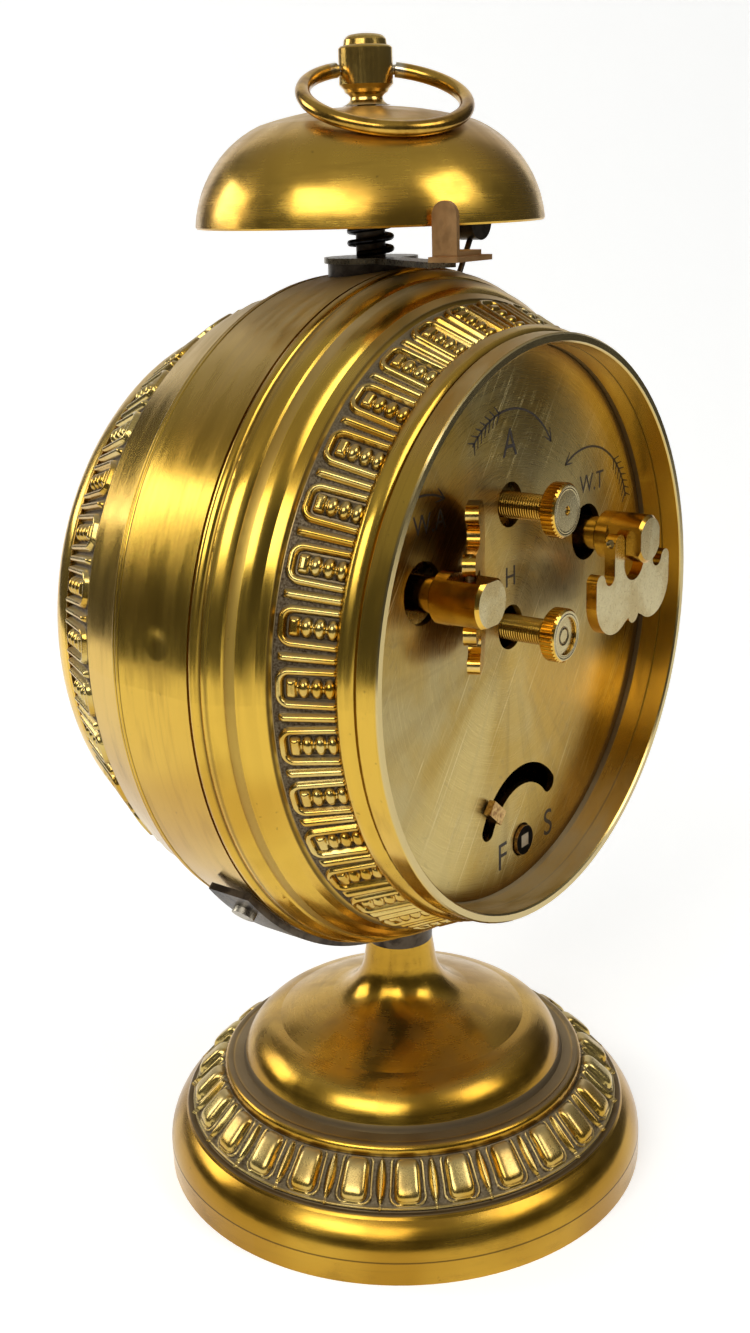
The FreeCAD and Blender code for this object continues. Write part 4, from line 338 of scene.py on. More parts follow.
def plate_brass(name):
    """The back plate: finely turned, gone olive in patches, with long steep scratches and scuffs, and a painted
    sheen of light and shade in rays from the middle.
    """
    dim_from, dim_to = 44.2, 46.6       # the plate darkens towards its edge
    sh = Shader(name)
    place = sh.place()
    polar = sh.polar("Y", DRUM_Z)
    x, _, z = sh.parts(place)
    line = sh.noise(sh.turned(polar, 2.5, 14.0), 1.0, 3.0, 0.75)
    cloud = sh.noise(place, 0.055, 3.0, 0.55, 0.6)
    scuff = sh.noise(place, 0.35, 4.0, 0.65, 1.0)
    # scratches lean from lower left to upper right as seen from behind, close together in some places
    lean = sh.blend(x, z, 0.80, 0.60)
    run = sh.blend(x, z, -0.60, 0.80)
    scratch = sh.noise(sh.combine(sh.times(lean, 2.2), 0.0, sh.times(run, 0.030)), 1.0, 2.0, 0.6)
    hair = sh.noise(sh.combine(sh.times(lean, 7.0), 3.0, sh.times(run, 0.07)), 1.0, 2.0, 0.7)
    where = sh.span(sh.noise(place, 0.05, 1.0, 0.5), 0.42, 0.60)
    cut = sh.math("MAXIMUM", sh.span(scratch, 0.63, 0.67), sh.times(sh.span(hair, 0.62, 0.68), 0.8))
    cut = sh.times(cut, sh.span(where, 0.0, 1.0, 0.25, 1.0))
    colour = sh.two_tones(sh.span(cloud, 0.34, 0.68), CHAMPAGNE, OLIVE)
    # painted reflection: the sheen that the turning lines throw into rays from the middle is painted into the
    # colour, as a golden band of painted reflection, dark rays of painted shade and a bright line of painted
    # highlight
    clear = sh.span(polar.radius, 4.0, 16.0)
    across = sh.math("ABSOLUTE", sh.blend(polar.first, polar.second, 0.77, 0.64))
    ray = sh.noise(sh.turned(polar, 7.0, 0.0), 1.0, 3.0, 0.6)
    highlight_beam = sh.math("ABSOLUTE", sh.blend(polar.first, polar.second, -0.56, 0.83))
    colour = sh.paint(colour, sh.times(sh.span(across, 0.80, 1.0), clear, 0.55), PAINTED_REFLECTION_GOLD)
    colour = sh.paint(colour, sh.times(sh.span(ray, 0.50, 0.70), clear, 0.40), PAINTED_SHADE_OLIVE)
    colour = sh.paint(colour, sh.times(sh.span(highlight_beam, 0.945, 1.0), clear, 0.60), PAINTED_HIGHLIGHT_LINES)
    colour = sh.paint(colour, sh.times(sh.span(scuff, 0.58, 0.74), 0.45), SCUFFED)
    colour = sh.paint(colour, sh.times(cut, 0.75), BRIGHT_SCRATCH)
    colour = sh.paint(colour, sh.span(polar.radius, dim_from, dim_to, 0.0, 0.8), BROWN)
    sh.set("Base Color", colour)
    sh.set("Roughness", sh.plus(sh.span(line, 0.3, 0.7, 0.25, 0.36), sh.times(cut, 0.12)))
    sh.set("Anisotropic", 0.85)
    sh.set("Tangent", sh.node("ShaderNodeTangent", direction_type="RADIAL", axis="Y").outputs[0])
    sh.set("Normal", sh.press(cut, 0.03, 0.6, sh.bump(line, 0.012, 0.45)))
    return sh.material


def key_brass(name, face="Y", rings=(), thread=False, level=DRUM_Z):
    """Polished brass of the keys and knobs: pale on the flat faces, golden brown round the sides.

    rings are lines turned into the face, (radius, half width, strength). The knob's axis is at height level.
    """
    thread_pitch, thread_radius = 0.45, 3.3
    sh = Shader(name)
    place = sh.place()
    polar = sh.polar("Y", level)
    flat = sh.span(sh.math("ABSOLUTE", sh.facing(face)), 0.80, 0.97)
    cloud = sh.span(sh.noise(place, 0.14, 3.0, 0.55, 0.4), 0.38, 0.64)
    fine = sh.noise(place, 2.4, 3.0, 0.6)
    colour = sh.mix(flat, sh.two_tones(cloud, KEY_GOLD, KEY_SHADE), sh.two_tones(cloud, KEY_PALE, KEY_TARNISH))
    colour = sh.paint(colour, sh.times(sh.span(fine, 0.62, 0.80), 0.35), BROWN)
    normal = sh.bump(fine, 0.004, 0.4)
    if rings:
        mark = sh.times(sh.lines(polar.radius, rings), flat)
        colour = sh.paint(colour, sh.times(mark, 0.75), UMBER)
        normal = sh.press(mark, 0.15, 1.0, normal)
    if thread:
        wave = sh.math("SINE", sh.times(polar.along, 2.0 * math.pi / thread_pitch))
        normal = sh.bump(sh.times(wave, sh.span(polar.radius, thread_radius, thread_radius + 0.3, 1.0, 0.0)),
                         0.06, 1.0, normal)
    sh.set("Base Color", colour)
    sh.set("Roughness", sh.plus(sh.span(flat, 0.0, 1.0, 0.15, 0.24), sh.span(fine, 0.3, 0.7, -0.02, 0.05)))
    sh.set("Normal", normal)
    return sh.material


def index_brass(name, hub):
    """The regulator: a golden pointer on a pale square arbor that sits in a hole darkened with painted shade.
    """
    square_half, hole_radius = 1.05, 2.6
    sh = Shader(name)
    place = sh.place()
    x, _, z = sh.parts(place)
    across, up = (sh.math("ABSOLUTE", sh.math("SUBTRACT", value, middle)) for value, middle in zip((x, z), hub))
    square = sh.span(sh.math("MAXIMUM", across, up), square_half, square_half + 0.15, 1.0, 0.0)
    # painted shade: the hole round the arbor is painted near black
    hole_shade = sh.span(sh.length(across, up), hole_radius, hole_radius + 0.1, 1.0, 0.0)
    grit = sh.noise(place, 1.2, 3.0, 0.6)
    colour = sh.two_tones(sh.span(grit, 0.4, 0.7), POINTER_GOLD, POINTER_BROWN)
    sh.set("Base Color", sh.paint(sh.paint(colour, hole_shade, PAINTED_HOLE_SHADE), square, ARBOR_STEEL))
    sh.set("Roughness", sh.plus(sh.span(grit, 0.3, 0.7, 0.26, 0.40),
                                sh.times(sh.math("SUBTRACT", hole_shade, square), 0.35)))
    sh.set("Normal", sh.bump(grit, 0.03, 0.5))
    return sh.material


def worn_metal(name, light, dark, smooth, rough, size, grain=0.012, solder=None):
    """Plain worn metal: two tones in clouds and fine grain; solder is (centre, reach) of a silvery joint."""
    sh = Shader(name)
    place = sh.place()
    cloud = sh.noise(place, size, 4.0, 0.65, 0.4)
    fine = sh.noise(place, size * 12.0, 3.0, 0.6)
    colour = sh.two_tones(sh.span(cloud, 0.40, 0.66), light, dark)
    colour = sh.paint(colour, sh.times(sh.span(fine, 0.55, 0.85), 0.25), [c * 0.6 for c in dark])
    if solder:
        centre, reach = solder
        silver = sh.span(sh.near(place, centre, reach * 2.0), 0.42, 0.58, 0.0, 0.85)
        colour = sh.paint(colour, silver, SOLDER_SILVER)
    sh.set("Base Color", colour)
    sh.set("Roughness", sh.span(fine, 0.3, 0.7, smooth, rough))
    sh.set("Normal", sh.bump(fine, grain, 0.5))
    return sh.material


def enamel(name):
    """The dial: warm white, a little yellow in clouds and faintly specked."""
    sh = Shader(name, metallic=0.0)
    place = sh.place()
    cloud = sh.noise(place, 0.1, 4.0, 0.6)
    speck = sh.noise(place, 2.2, 2.0, 0.5)
    colour = sh.two_tones(sh.span(cloud, 0.4, 0.7), ENAMEL_WHITE, ENAMEL_CREAM)
    sh.set("Base Color", sh.paint(colour, sh.times(sh.span(speck, 0.70, 0.76), 0.4), ENAMEL_SPECK))
    sh.set("Roughness", sh.span(cloud, 0.3, 0.7, 0.12, 0.2))
    return sh.material


def clear_glass(name):
    """The front glass, with faint smears."""
    sh = Shader(name, metallic=0.0, colour=GLASS_TINT)
    sh.set("Transmission Weight", 1.0)
    sh.set("IOR", 1.45)
    smear = sh.noise(sh.place(), 0.12, 4.0, 0.6, 0.8)
    sh.set("Roughness", sh.span(smear, 0.45, 0.75, 0.01, 0.06))
    return sh.material


def ink(name, colour):
    """Dark filling of engraved or printed marks."""
    sh = Shader(name, metallic=0.0)
    grit = sh.noise(sh.place(), 5.0, 3.0, 0.6)
    sh.set("Base Color", sh.two_tones(sh.span(grit, 0.45, 0.75), colour, [min(1.0, c * 2.4) for c in colour]))
    sh.set("Roughness", sh.span(grit, 0.3, 0.7, 0.4, 0.6))
    return sh.material


BRASS_BAND = aged_brass(
    "brass_band", grooves=((-9.7, 0.25, 0.8), (5.85, 0.22, 0.9)),
    dents=(((56.9, -0.9, 113.9), 3.0, 0.22), ((26.3, 2.2, 157.1), 3.0, 0.30)))
BRASS_REAR = aged_brass(
    "brass_rear", fine=7.0,
    grooves=((5.95, 0.25, 0.9), (7.7, 0.35, 0.7), (8.9, 0.5, 0.4), (16.75, 0.30, 0.8), (29.1, 0.3, 0.7)),
    bands=((11.2, 13.0, DULL_BROWN, 0.40), (17.0, 25.75, STONE, 0.95)), edge_from=32.6)
BRASS_FRONT = aged_brass(
    "brass_front", fine=7.0,
    grooves=((-9.6, 0.2, 0.8), (-10.4, 0.2, 0.8), (-11.25, 0.25, 0.8), (-19.8, 0.25, 0.6)),
    bands=((-29.55, -19.95, STONE, 0.95),))
BRASS_BEZEL = aged_brass("brass_bezel", light=(0.88, 0.72, 0.32))
BRASS_BELL = aged_brass(
    "brass_bell", axis="Z", level=BELL_Y, light=(0.80, 0.64, 0.26), middle=(0.72, 0.55, 0.21),
    fine=8.0, smooth=0.19, rough=0.30, dust_and_sheen=0.3)
BRASS_FOOT = aged_brass(
    "brass_foot", axis="Z", level=0.0, light=(0.76, 0.60, 0.22), middle=(0.64, 0.48, 0.15),
    dark=(0.42, 0.30, 0.12), fine=6.0, smooth=0.17, rough=0.28, dust_and_sheen=0.15,
    grooves=((4.35, 0.25, 0.8), (11.0, 0.3, 0.8), (17.9, 0.4, 0.7), (20.3, 0.9, 0.8)),
    bands=((11.05, 17.6, STONE, 0.95), (19.3, 21.0, STONE, 0.8)))
BRASS_FINIAL = aged_brass(
    "brass_finial", axis="Z", level=BELL_Y, around=9.0, fine=1.2,
    light=(0.86, 0.74, 0.42), middle=(0.74, 0.58, 0.26))
BRASS_RELIEF = relief_brass("brass_relief")
BRASS_PLATE = plate_brass("brass_plate")
BRASS_RING = worn_metal(
    "brass_ring", (0.76, 0.60, 0.26), (0.58, 0.43, 0.17), smooth=0.16, rough=0.26, size=0.10,
    solder=(RING_JOINT, 6.2))
BRASS_KEY = key_brass("brass_key")
BRASS_KEY_EDGE_ON = key_brass("brass_key_edge_on", face="X")
BRASS_KNOB_HANDS = key_brass("brass_knob_hands", rings=((1.35, 0.35, 1.0), (3.7, 0.20, 0.5)), thread=True)
BRASS_KNOB_ALARM = key_brass("brass_knob_alarm", rings=((0.0, 0.6, 1.0), (3.7, 0.20, 0.4)), thread=True,
                             level=ALARM_Z)
BRASS_MOVEMENT = worn_metal(
    "brass_movement", (0.84, 0.70, 0.36), (0.72, 0.56, 0.25), smooth=0.22, rough=0.34, size=0.08)
COPPER = worn_metal(
    "copper_worn", (0.86, 0.67, 0.45), (0.76, 0.56, 0.35), smooth=0.36, rough=0.44, size=0.08, grain=0.003)
REGULATOR = index_brass("regulator_index", REGULATOR_HUB)
STEEL = worn_metal(
    "steel_worn", (0.66, 0.63, 0.56), (0.46, 0.41, 0.34), smooth=0.26, rough=0.42, size=0.3)
DARK_STEEL = worn_metal(
    "steel_dark", (0.34, 0.30, 0.25), (0.20, 0.17, 0.14), smooth=0.28, rough=0.45, size=0.3)
PEWTER = worn_metal(
    "steel_pewter", (0.52, 0.47, 0.37), (0.36, 0.31, 0.23), smooth=0.24, rough=0.36, size=0.2)
SPRING = worn_metal(
    "steel_spring", (0.20, 0.20, 0.21), (0.10, 0.10, 0.11), smooth=0.22, rough=0.36, size=0.8)
BLUED = worn_metal(
    "steel_blued", (0.10, 0.13, 0.32), (0.05, 0.07, 0.20), smooth=0.15, rough=0.28, size=0.4)
ENAMEL = enamel("dial_enamel")
GLASS = clear_glass("glass_clear")
INK = ink("ink_black", PRINTED_BLACK)
ENGRAVED = ink("engraved_dark", ENGRAVED_BROWN)

BY_SLOT = {
    "case_brass": BRASS_BAND, "foot_brass": BRASS_FOOT, "bell_brass": BRASS_BELL, "plate_brass": BRASS_PLATE,
    "key_brass": BRASS_KEY, "movement_brass": BRASS_MOVEMENT, "copper": COPPER, "steel": STEEL,
    "dark_steel": DARK_STEEL, "spring_steel": SPRING, "blued_steel": BLUED, "dial_enamel": ENAMEL,
    "glass": GLASS}
BY_NODE = {
    "rear_casting": BRASS_REAR, "front_casting": BRASS_FRONT, "bezel": BRASS_BEZEL, "finial": BRASS_FINIAL,
    "ring_handle": BRASS_RING, "hand_knob": BRASS_KNOB_HANDS, "alarm_knob": BRASS_KNOB_ALARM,
    "alarm_key_bow": BRASS_KEY_EDGE_ON, "regulator": REGULATOR, "bell_post": DARK_STEEL, "stop_arm": PEWTER}


def dress_nodes():
    """Gives each CAD node its own material, or the one of its slot in the record."""
    slots = {entry["node"]: entry["material_slot"] for entry in frame["record"]["subparts"]}
    for name, obj in NODES.items():
        material = BY_NODE.get(name) or BY_SLOT.get(slots.get(name), BRASS_MOVEMENT)
        obj.data.materials.clear()
        obj.data.materials.append(material)


# ---------------------------------------------------------------- geometry helpers

def add_object(name, mesh, body):
    """Links a mesh as a piece that rides on a body."""
    mesh.update()
    obj = bpy.data.objects.new(name, mesh)
    bpy.context.scene.collection.objects.link(obj)
    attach(obj, body)
    return obj


def add_mesh(name, vertices, faces, material, body, smooth=True):
    mesh = bpy.data.meshes.new(name)
    mesh.from_pydata([tuple(v) for v in vertices], [], [tuple(f) for f in faces])
    mesh.materials.append(material)
    mesh.polygons.foreach_set("use_smooth", [smooth] * len(mesh.polygons))
    return add_object(name, mesh, body)


def rounded_box(u, v, half_u, half_v, radius):
    """Signed distance to a rounded rectangle centred on the origin."""
    du, dv = np.abs(u) - (half_u - radius), np.abs(v) - (half_v - radius)
    outside = np.hypot(np.maximum(du, 0.0), np.maximum(dv, 0.0))
    return outside + np.minimum(np.maximum(du, dv), 0.0) - radius


def half_round(distance, half, height):
    """A bead of half-round section about a line at distance 0."""
    t = np.clip(np.abs(distance) / half, 0.0, 1.0)
    return height * np.sqrt(1.0 - t ** 2.4)


def pillow(inside, edge, height):
    """A pad that rises over its edge from its outline (inside < 0) to its height."""
    t = np.clip(-inside / edge, 0.0, 1.0)
    return height * np.sqrt(1.0 - (1.0 - t) ** 2)


# ---------------------------------------------------------------- cast ornament

# each cone is (radius, along) at the edge where its motif starts and at the other edge
REAR_CONE = ((52.48, 17.02), (48.22, 25.72))
FRONT_CONE = ((52.66, -19.95), (47.72, -29.45))
FOOT_CONE = ((40.45, 11.05), (34.05, 17.28))
DRUM_FRAMES, DRUM_PHASE = 36, math.radians(3.0)
FOOT_TABLETS, FOOT_PHASE = 26, math.radians(36.8)
RELIEF_LIFT = 0.04      # the relief's ground lies this far over the solid
RELIEF_TUCK = 0.25      # its two edges are tucked this far under the solid's face


def even_columns(part, half_pitch):
    """Columns spread evenly over a motif; part runs from -1 to 1."""
    return part * half_pitch


def steady_columns(part, half_pitch):
    """Columns that keep their distance from the middle of a frame and of a bar, and stretch between."""
    frame_half, bar_half = 3.15, 0.78
    inner, outer = 0.70, 0.86       # shares of a half pitch where the frame's columns end and the bar's begin
    side = np.abs(part)
    bar_side = half_pitch - bar_half
    on_frame = side / inner * frame_half
    on_bar = half_pitch - bar_half * (1.0 - side) / (1.0 - outer)
    between = frame_half + (bar_side - frame_half) * (side - inner) / (outer - inner)
    return np.sign(part) * np.where(side < inner, on_frame, np.where(side > outer, on_bar, between))


def relief_band(name, axis, count, phase, cone, columns, rows, motif, spread):
    """A cast band of count motifs laid on a cone, each with the given columns and rows of points.

    motif gives the height at (u, v): u from the motif's middle, v up the cone. spread places the columns.
    """
    (r0, a0), (r1, a1) = cone
    slant = math.hypot(r1 - r0, a1 - a0)
    v = np.linspace(0.0, slant, rows + 1)
    radius = r0 + (r1 - r0) * v / slant
    along = a0 + (a1 - a0) * v / slant
    step = 2.0 * math.pi / count
    part = (np.arange(columns) / columns * 2.0 - 1.0)[:, None]
    u = spread(part, step * radius / 2.0)
    height = motif(u, np.broadcast_to(v, u.shape), step * radius)
    height[:, [0, -1]] = 0.0
    level = height + RELIEF_LIFT
    level[:, [0, -1]] = -RELIEF_TUCK
    level = np.tile(level, (count, 1))
    # the cone's outward normal
    out = abs(a1 - a0) / slant
    lengthwise = (r0 - r1) / slant * (1.0 if a1 > a0 else -1.0)
    centre = np.repeat(phase + np.arange(count) * step, columns)[:, None]
    angle = centre + np.tile(u / radius, (count, 1))
    rr = radius + out * level
    aa = along + lengthwise * level
    if axis == "Y":
        xyz = rr * np.cos(angle), aa, rr * np.sin(angle) + DRUM_Z
    else:
        xyz = rr * np.cos(angle), rr * np.sin(angle), aa
    points = np.stack(xyz, -1).reshape(-1, 3) * MM
    corner = np.arange(count * columns)[:, None] * (rows + 1) + np.arange(rows)
    first, after = corner.reshape(-1), np.roll(corner, -1, axis=0).reshape(-1)
    quads = np.stack([first, after, after + 1, first + 1], -1)
    if (a1 > a0) == (axis == "Y"):
        quads = quads[:, ::-1]      # so that the faces look outward
    obj = add_mesh(name, points, quads, BRASS_RELIEF, "case")
    attribute = obj.data.attributes.new("relief", "FLOAT", "POINT")
    attribute.data.foreach_set("value", np.tile(height, (count, 1)).reshape(-1).astype(np.float32))
    return obj


def drum_motif(u, v, pitch):
    """A round-ended frame about a block and three beads, and a bar between frames."""
    frame_start, frame_reach = 1.25, 8.0        # the frame runs on past the band's far edge
    block_centre, bead_half = 3.10, 1.50
    bar_start, bar_tip = 0.85, 0.9
    groove_inset, groove_half, groove_depth = 0.78, 0.20, 0.18
    frame_line = rounded_box(u, v - (frame_start + frame_reach), half_u=2.45, half_v=frame_reach, radius=1.55)
    height = half_round(frame_line, half=0.60, height=1.10)
    block = rounded_box(u, v - block_centre, half_u=1.45, half_v=0.86, radius=0.45)
    height = np.maximum(height, pillow(block, edge=0.75, height=1.10))
    for centre, size in ((4.93, 0.97), (6.85, 0.97), (8.75, 0.95)):
        bead = size * (np.hypot(u / bead_half, (v - centre) / size) - 1.0)
        height = np.maximum(height, pillow(bead, edge=size, height=1.25))
    bar = half_round(pitch / 2.0 - np.abs(u), half=0.64, height=1.05)
    tip = np.clip((v - bar_start) / bar_tip, 0.0, 1.0) ** 0.6
    height = np.maximum(height, np.where(v > bar_start, bar * tip, 0.0))
    groove = np.clip(1.0 - np.abs(frame_line + groove_inset) / groove_half, 0.0, 1.0)
    return np.where(height > 0.02, height, -groove_depth * groove)


def foot_motif(u, v, pitch):
    """A domed tablet in a thin raised outline, and a ridged leaf between tablets."""
    middle, outline_middle, ridge = 5.1, 5.3, 0.55
    tablet_half_u, tablet_half_v, tablet_height, squareness = 2.38, 3.80, 1.60, 4.5
    leaf_half_u, leaf_half_v, leaf_height = 0.95, 3.7, 1.05
    half = tablet_half_u - 0.055 * (v - 2.35)       # the tablets narrow towards the foot's middle
    inside = 1.0 - np.abs(u / half) ** squareness - np.abs((v - middle) / tablet_half_v) ** squareness
    height = tablet_height * np.clip(inside, 0.0, 1.0) ** 0.50
    outline = rounded_box(u * tablet_half_u / half, v - outline_middle, half_u=3.00, half_v=4.20, radius=1.6)
    height = np.maximum(height, half_round(outline, half=0.22, height=0.45))
    leaf_half = leaf_half_u * np.sqrt(np.clip(1.0 - ((v - middle) / leaf_half_v) ** 2, 0.0, 1.0)) + 1e-3
    leaf = (pitch / 2.0 - np.abs(u)) / leaf_half
    height = np.maximum(height, leaf_height * (1.0 - np.clip(leaf, 0.0, 1.0) ** 1.4))
    return np.maximum(height, half_round(v - ridge, half=0.30, height=0.40))


def make_ornament():
    relief_band("rear_ornament", "Y", DRUM_FRAMES, DRUM_PHASE, REAR_CONE, columns=44, rows=48,
                motif=drum_motif, spread=steady_columns)
    relief_band("front_ornament", "Y", DRUM_FRAMES, DRUM_PHASE, FRONT_CONE, columns=36, rows=40,
                motif=drum_motif, spread=steady_columns)
    relief_band("foot_ornament", "Z", FOOT_TABLETS, FOOT_PHASE, FOOT_CONE, columns=44, rows=44,
                motif=foot_motif, spread=even_columns)


# ---------------------------------------------------------------- marks on the plates

def text_mesh(name, words, size, centre, normal, material, body, thick, turn=0.0):
    """Flat raised lettering about its centre: size is the height of its capitals, turn its angle."""
    capital_share = 0.7     # of a letter's full size
    curve = bpy.data.curves.new(name, "FONT")
    curve.body = words
    curve.align_x = "CENTER"
    curve.align_y = "CENTER"
    curve.size = size / capital_share * MM
    curve.extrude = thick * 0.5 * MM
    holder = bpy.data.objects.new(name + ".text", curve)
    bpy.context.scene.collection.objects.link(holder)
    bpy.context.view_layer.update()
    mesh = bpy.data.meshes.new_from_object(holder.evaluated_get(bpy.context.evaluated_depsgraph_get()))
    bpy.data.objects.remove(holder)
    bpy.data.curves.remove(curve)
    turn_by = Matrix.Rotation(turn, 3, "Z")
    corners = [v.co for v in mesh.vertices]
    middle_x = (max(c.x for c in corners) + min(c.x for c in corners)) / 2.0
    middle_y = (max(c.y for c in corners) + min(c.y for c in corners)) / 2.0
    base = Vector(centre) * MM
    for vertex in mesh.vertices:
        flat = turn_by @ Vector((vertex.co.x - middle_x, vertex.co.y - middle_y, 0.0))
        vertex.co = base + Vector((-normal * flat.x, normal * vertex.co.z, flat.y))
    mesh.materials.clear()
    mesh.materials.append(material)
    return add_object(name, mesh, body)


def stroke(points, widths, y, normal, thick=0.04):
    """A flat ribbon along points (x, z) of the given half widths, as (vertices, faces)."""
    vertices, faces = [], []
    last = len(points) - 1
    for i, (x, z) in enumerate(points):
        before, after = points[max(i - 1, 0)], points[min(i + 1, last)]
        direction = Vector((after[0] - before[0], after[1] - before[1])).normalized()
        side = Vector((-direction.y, direction.x)) * widths[i]
        for k in (-1.0, 1.0):
            for level in (0.0, thick):
                vertices.append(Vector((x + side.x * k, y + normal * level, z + side.y * k)) * MM)
    for i in range(last):
        a, b = i * 4, i * 4 + 4
        faces += [(a + 1, a + 3, b + 3, b + 1), (a, b, b + 2, a + 2),
                  (a, a + 1, b + 1, b), (a + 2, b + 2, b + 3, a + 3)]
    end = last * 4
    faces += [(0, 2, 3, 1), (end, end + 1, end + 3, end + 2)]
    return vertices, faces


def join_parts(parts):
    vertices, faces = [], []
    for more_vertices, more_faces in parts:
        offset = len(vertices)
        vertices += more_vertices
        faces += [tuple(i + offset for i in face) for face in more_faces]
    return vertices, faces


def arrow(name, centre, radius, first, last, head_at_last=True):
    """An engraved turning arrow: an arc with a head at one end and feathers at the other."""
    steps, line_half = 40, 0.19
    head_length, head_half = 2.3, 1.1
    feathers, feather_length, feather_half = 7, 1.2, 1.5
    angles = [math.radians(first + (last - first) * i / steps) for i in range(steps + 1)]
    if not head_at_last:
        angles.reverse()
    points = [(centre[0] + radius * math.cos(a), centre[1] + radius * math.sin(a)) for a in angles]
    parts = [stroke(points, [line_half] * len(points), PLATE_Y, 1.0)]
    tip, back = Vector(points[-1]), Vector(points[-4])
    ahead = (tip - back).normalized()
    side = Vector((-ahead.y, ahead.x))
    for sign in (-1.0, 1.0):
        barb = tip - ahead * head_length + side * sign * head_half
        middle = (tip + barb) / 2
        parts.append(stroke([tuple(tip), tuple(middle), tuple(barb)], [0.08, 0.16, 0.05], PLATE_Y, 1.0))
    for i in range(feathers):
        root = Vector(points[2 * i + 1])
        along = (Vector(points[2 * i + 2]) - Vector(points[2 * i])).normalized()
        across = Vector((-along.y, along.x))
        for sign in (-1.0, 1.0):
            end = root - along * feather_length + across * sign * feather_half
            parts.append(stroke([tuple(root), tuple(end)], [0.17, 0.08], PLATE_Y, 1.0))
    vertices, faces = join_parts(parts)
    return add_mesh(name, vertices, faces, ENGRAVED, "case", smooth=False)


def make_back_marks():
    """Generic letters and turning arrows: (name, letters, height of capitals, x, height over the axis)."""
    for name, words, size, x, up in (
        ("mark_alarm", "A", 4.6, 0.0, 30.9),
        ("mark_hands", "H", 3.4, 0.0, 8.7),
        ("mark_fast", "F", 4.9, 2.9, -40.4),
        ("mark_slow", "S", 4.9, -12.3, -39.4),
        ("mark_wind_time", "W.T", 3.2, -27.0, 20.0),
        ("mark_wind_alarm", "W.A", 3.2, 23.0, 22.0),
    ):
        text_mesh(name, words, size, (x, PLATE_Y, DRUM_Z + up), 1.0, ENGRAVED, "case", thick=0.05)
    arrow("arrow_alarm", (0.0, ALARM_Z), 15.5, 45.0, 147.0)
    arrow("arrow_right_key", (-KEY_X, KEY_Z), 15.0, 60.0, 165.0, head_at_last=False)
    arrow("arrow_left_key", (KEY_X, KEY_Z), 15.0, 20.0, 115.0)


def dial_point(radius, bearing, level=DRUM_Z):
    """(x, z) on the dial: bearing is clockwise from the top as seen from the front."""
    a = math.radians(bearing)
    return radius * math.sin(a), level + radius * math.cos(a)


def dial_line(points, half):
    return stroke(points, [half] * len(points), DIAL_Y, -1.0, 0.02)


def dial_tick(inner, outer, bearing, half, level=DRUM_Z):
    return dial_line([dial_point(inner, bearing, level), dial_point(outer, bearing, level)], half)


def dial_ring(radius, half, steps, level=DRUM_Z):
    return dial_line([dial_point(radius, 360.0 * i / steps, level) for i in range(steps + 1)], half)


def make_dial_print():
    hour_radius, day_radius, minute_end = 24.6, 37.2, 31.4
    # the alarm dial takes the place of the twelve
    for hour in range(1, 12):
        x, z = dial_point(hour_radius, hour * 30.0)
        text_mesh(f"hour_{hour}", str(hour), 5.0, (x, DIAL_Y, z), -1.0, INK, "case", thick=0.04)
    for day in range(1, 32):
        bearing = (day - 1) * 360.0 / 31.0
        x, z = dial_point(day_radius, bearing)
        text_mesh(f"day_{day}", str(day), 2.1, (x, DIAL_Y, z), -1.0, INK, "case", thick=0.04,
                  turn=-math.radians(bearing))
    parts = []
    for minute in range(60):
        start, half = (29.0, 0.28) if minute % 5 == 0 else (30.0, 0.10)
        parts.append(dial_tick(start, minute_end, minute * 6.0, half))
    for radius, half in ((31.5, 0.08), (34.6, 0.12), (39.8, 0.12)):
        parts.append(dial_ring(radius, half, 120))
    for step in range(12):
        parts.append(dial_tick(8.0, 9.2, step * 30.0, 0.10, ALARM_Z))
    parts.append(dial_ring(9.3, 0.08, 72, ALARM_Z))
    vertices, faces = join_parts(parts)
    add_mesh("dial_tracks", vertices, faces, INK, "case", smooth=False)


# ---------------------------------------------------------------- stage, light and camera (in metres)

STAGE_FRONT, STAGE_BACK = -0.6, 0.45    # the flat floor's ends, measured away from the camera
STAGE_HALF = 0.55                       # half the floor's width
SWEEP_RADIUS = 0.35                     # of the curve between floor and backdrop
BACKDROP_TOP = 1.6
PHOTO_HEIGHT = 1333.0                   # pixels of the photograph's longer side
FOCAL_LENGTH = 1570.0                   # in the same pixels, as solved from the drum's and foot's edges
SENSOR = 36.0                           # the camera's sensor in millimetres
CAMERA_PLACE = (214.68, 158.64, 177.4)  # in millimetres, solved with the focal length


def stage_material():
    """White as the camera and the metal see it, so that the lamps can stay low."""
    material = bpy.data.materials.new("stage_white")
    material.use_nodes = True
    tree = material.node_tree
    shader = tree.nodes["Principled BSDF"]
    shader.inputs["Base Color"].default_value = linear(0.95, 0.95, 0.94)
    shader.inputs["Roughness"].default_value = 0.6
    path = tree.nodes.new("ShaderNodeLightPath")
    seen = path.outputs["Is Camera Ray"]
    for ray in ("Is Glossy Ray", "Is Transmission Ray"):
        either = tree.nodes.new("ShaderNodeMath")
        either.operation = "MAXIMUM"
        tree.links.new(seen, either.inputs[0])
        tree.links.new(path.outputs[ray], either.inputs[1])
        seen = either.outputs[0]
    glow = tree.nodes.new("ShaderNodeMath")
    glow.operation = "MULTIPLY"
    glow.inputs[1].default_value = 0.45
    tree.links.new(seen, glow.inputs[0])
    shader.inputs["Emission Color"].default_value = (1.0, 1.0, 1.0, 1.0)
    tree.links.new(glow.outputs[0], shader.inputs["Emission Strength"])
    return material


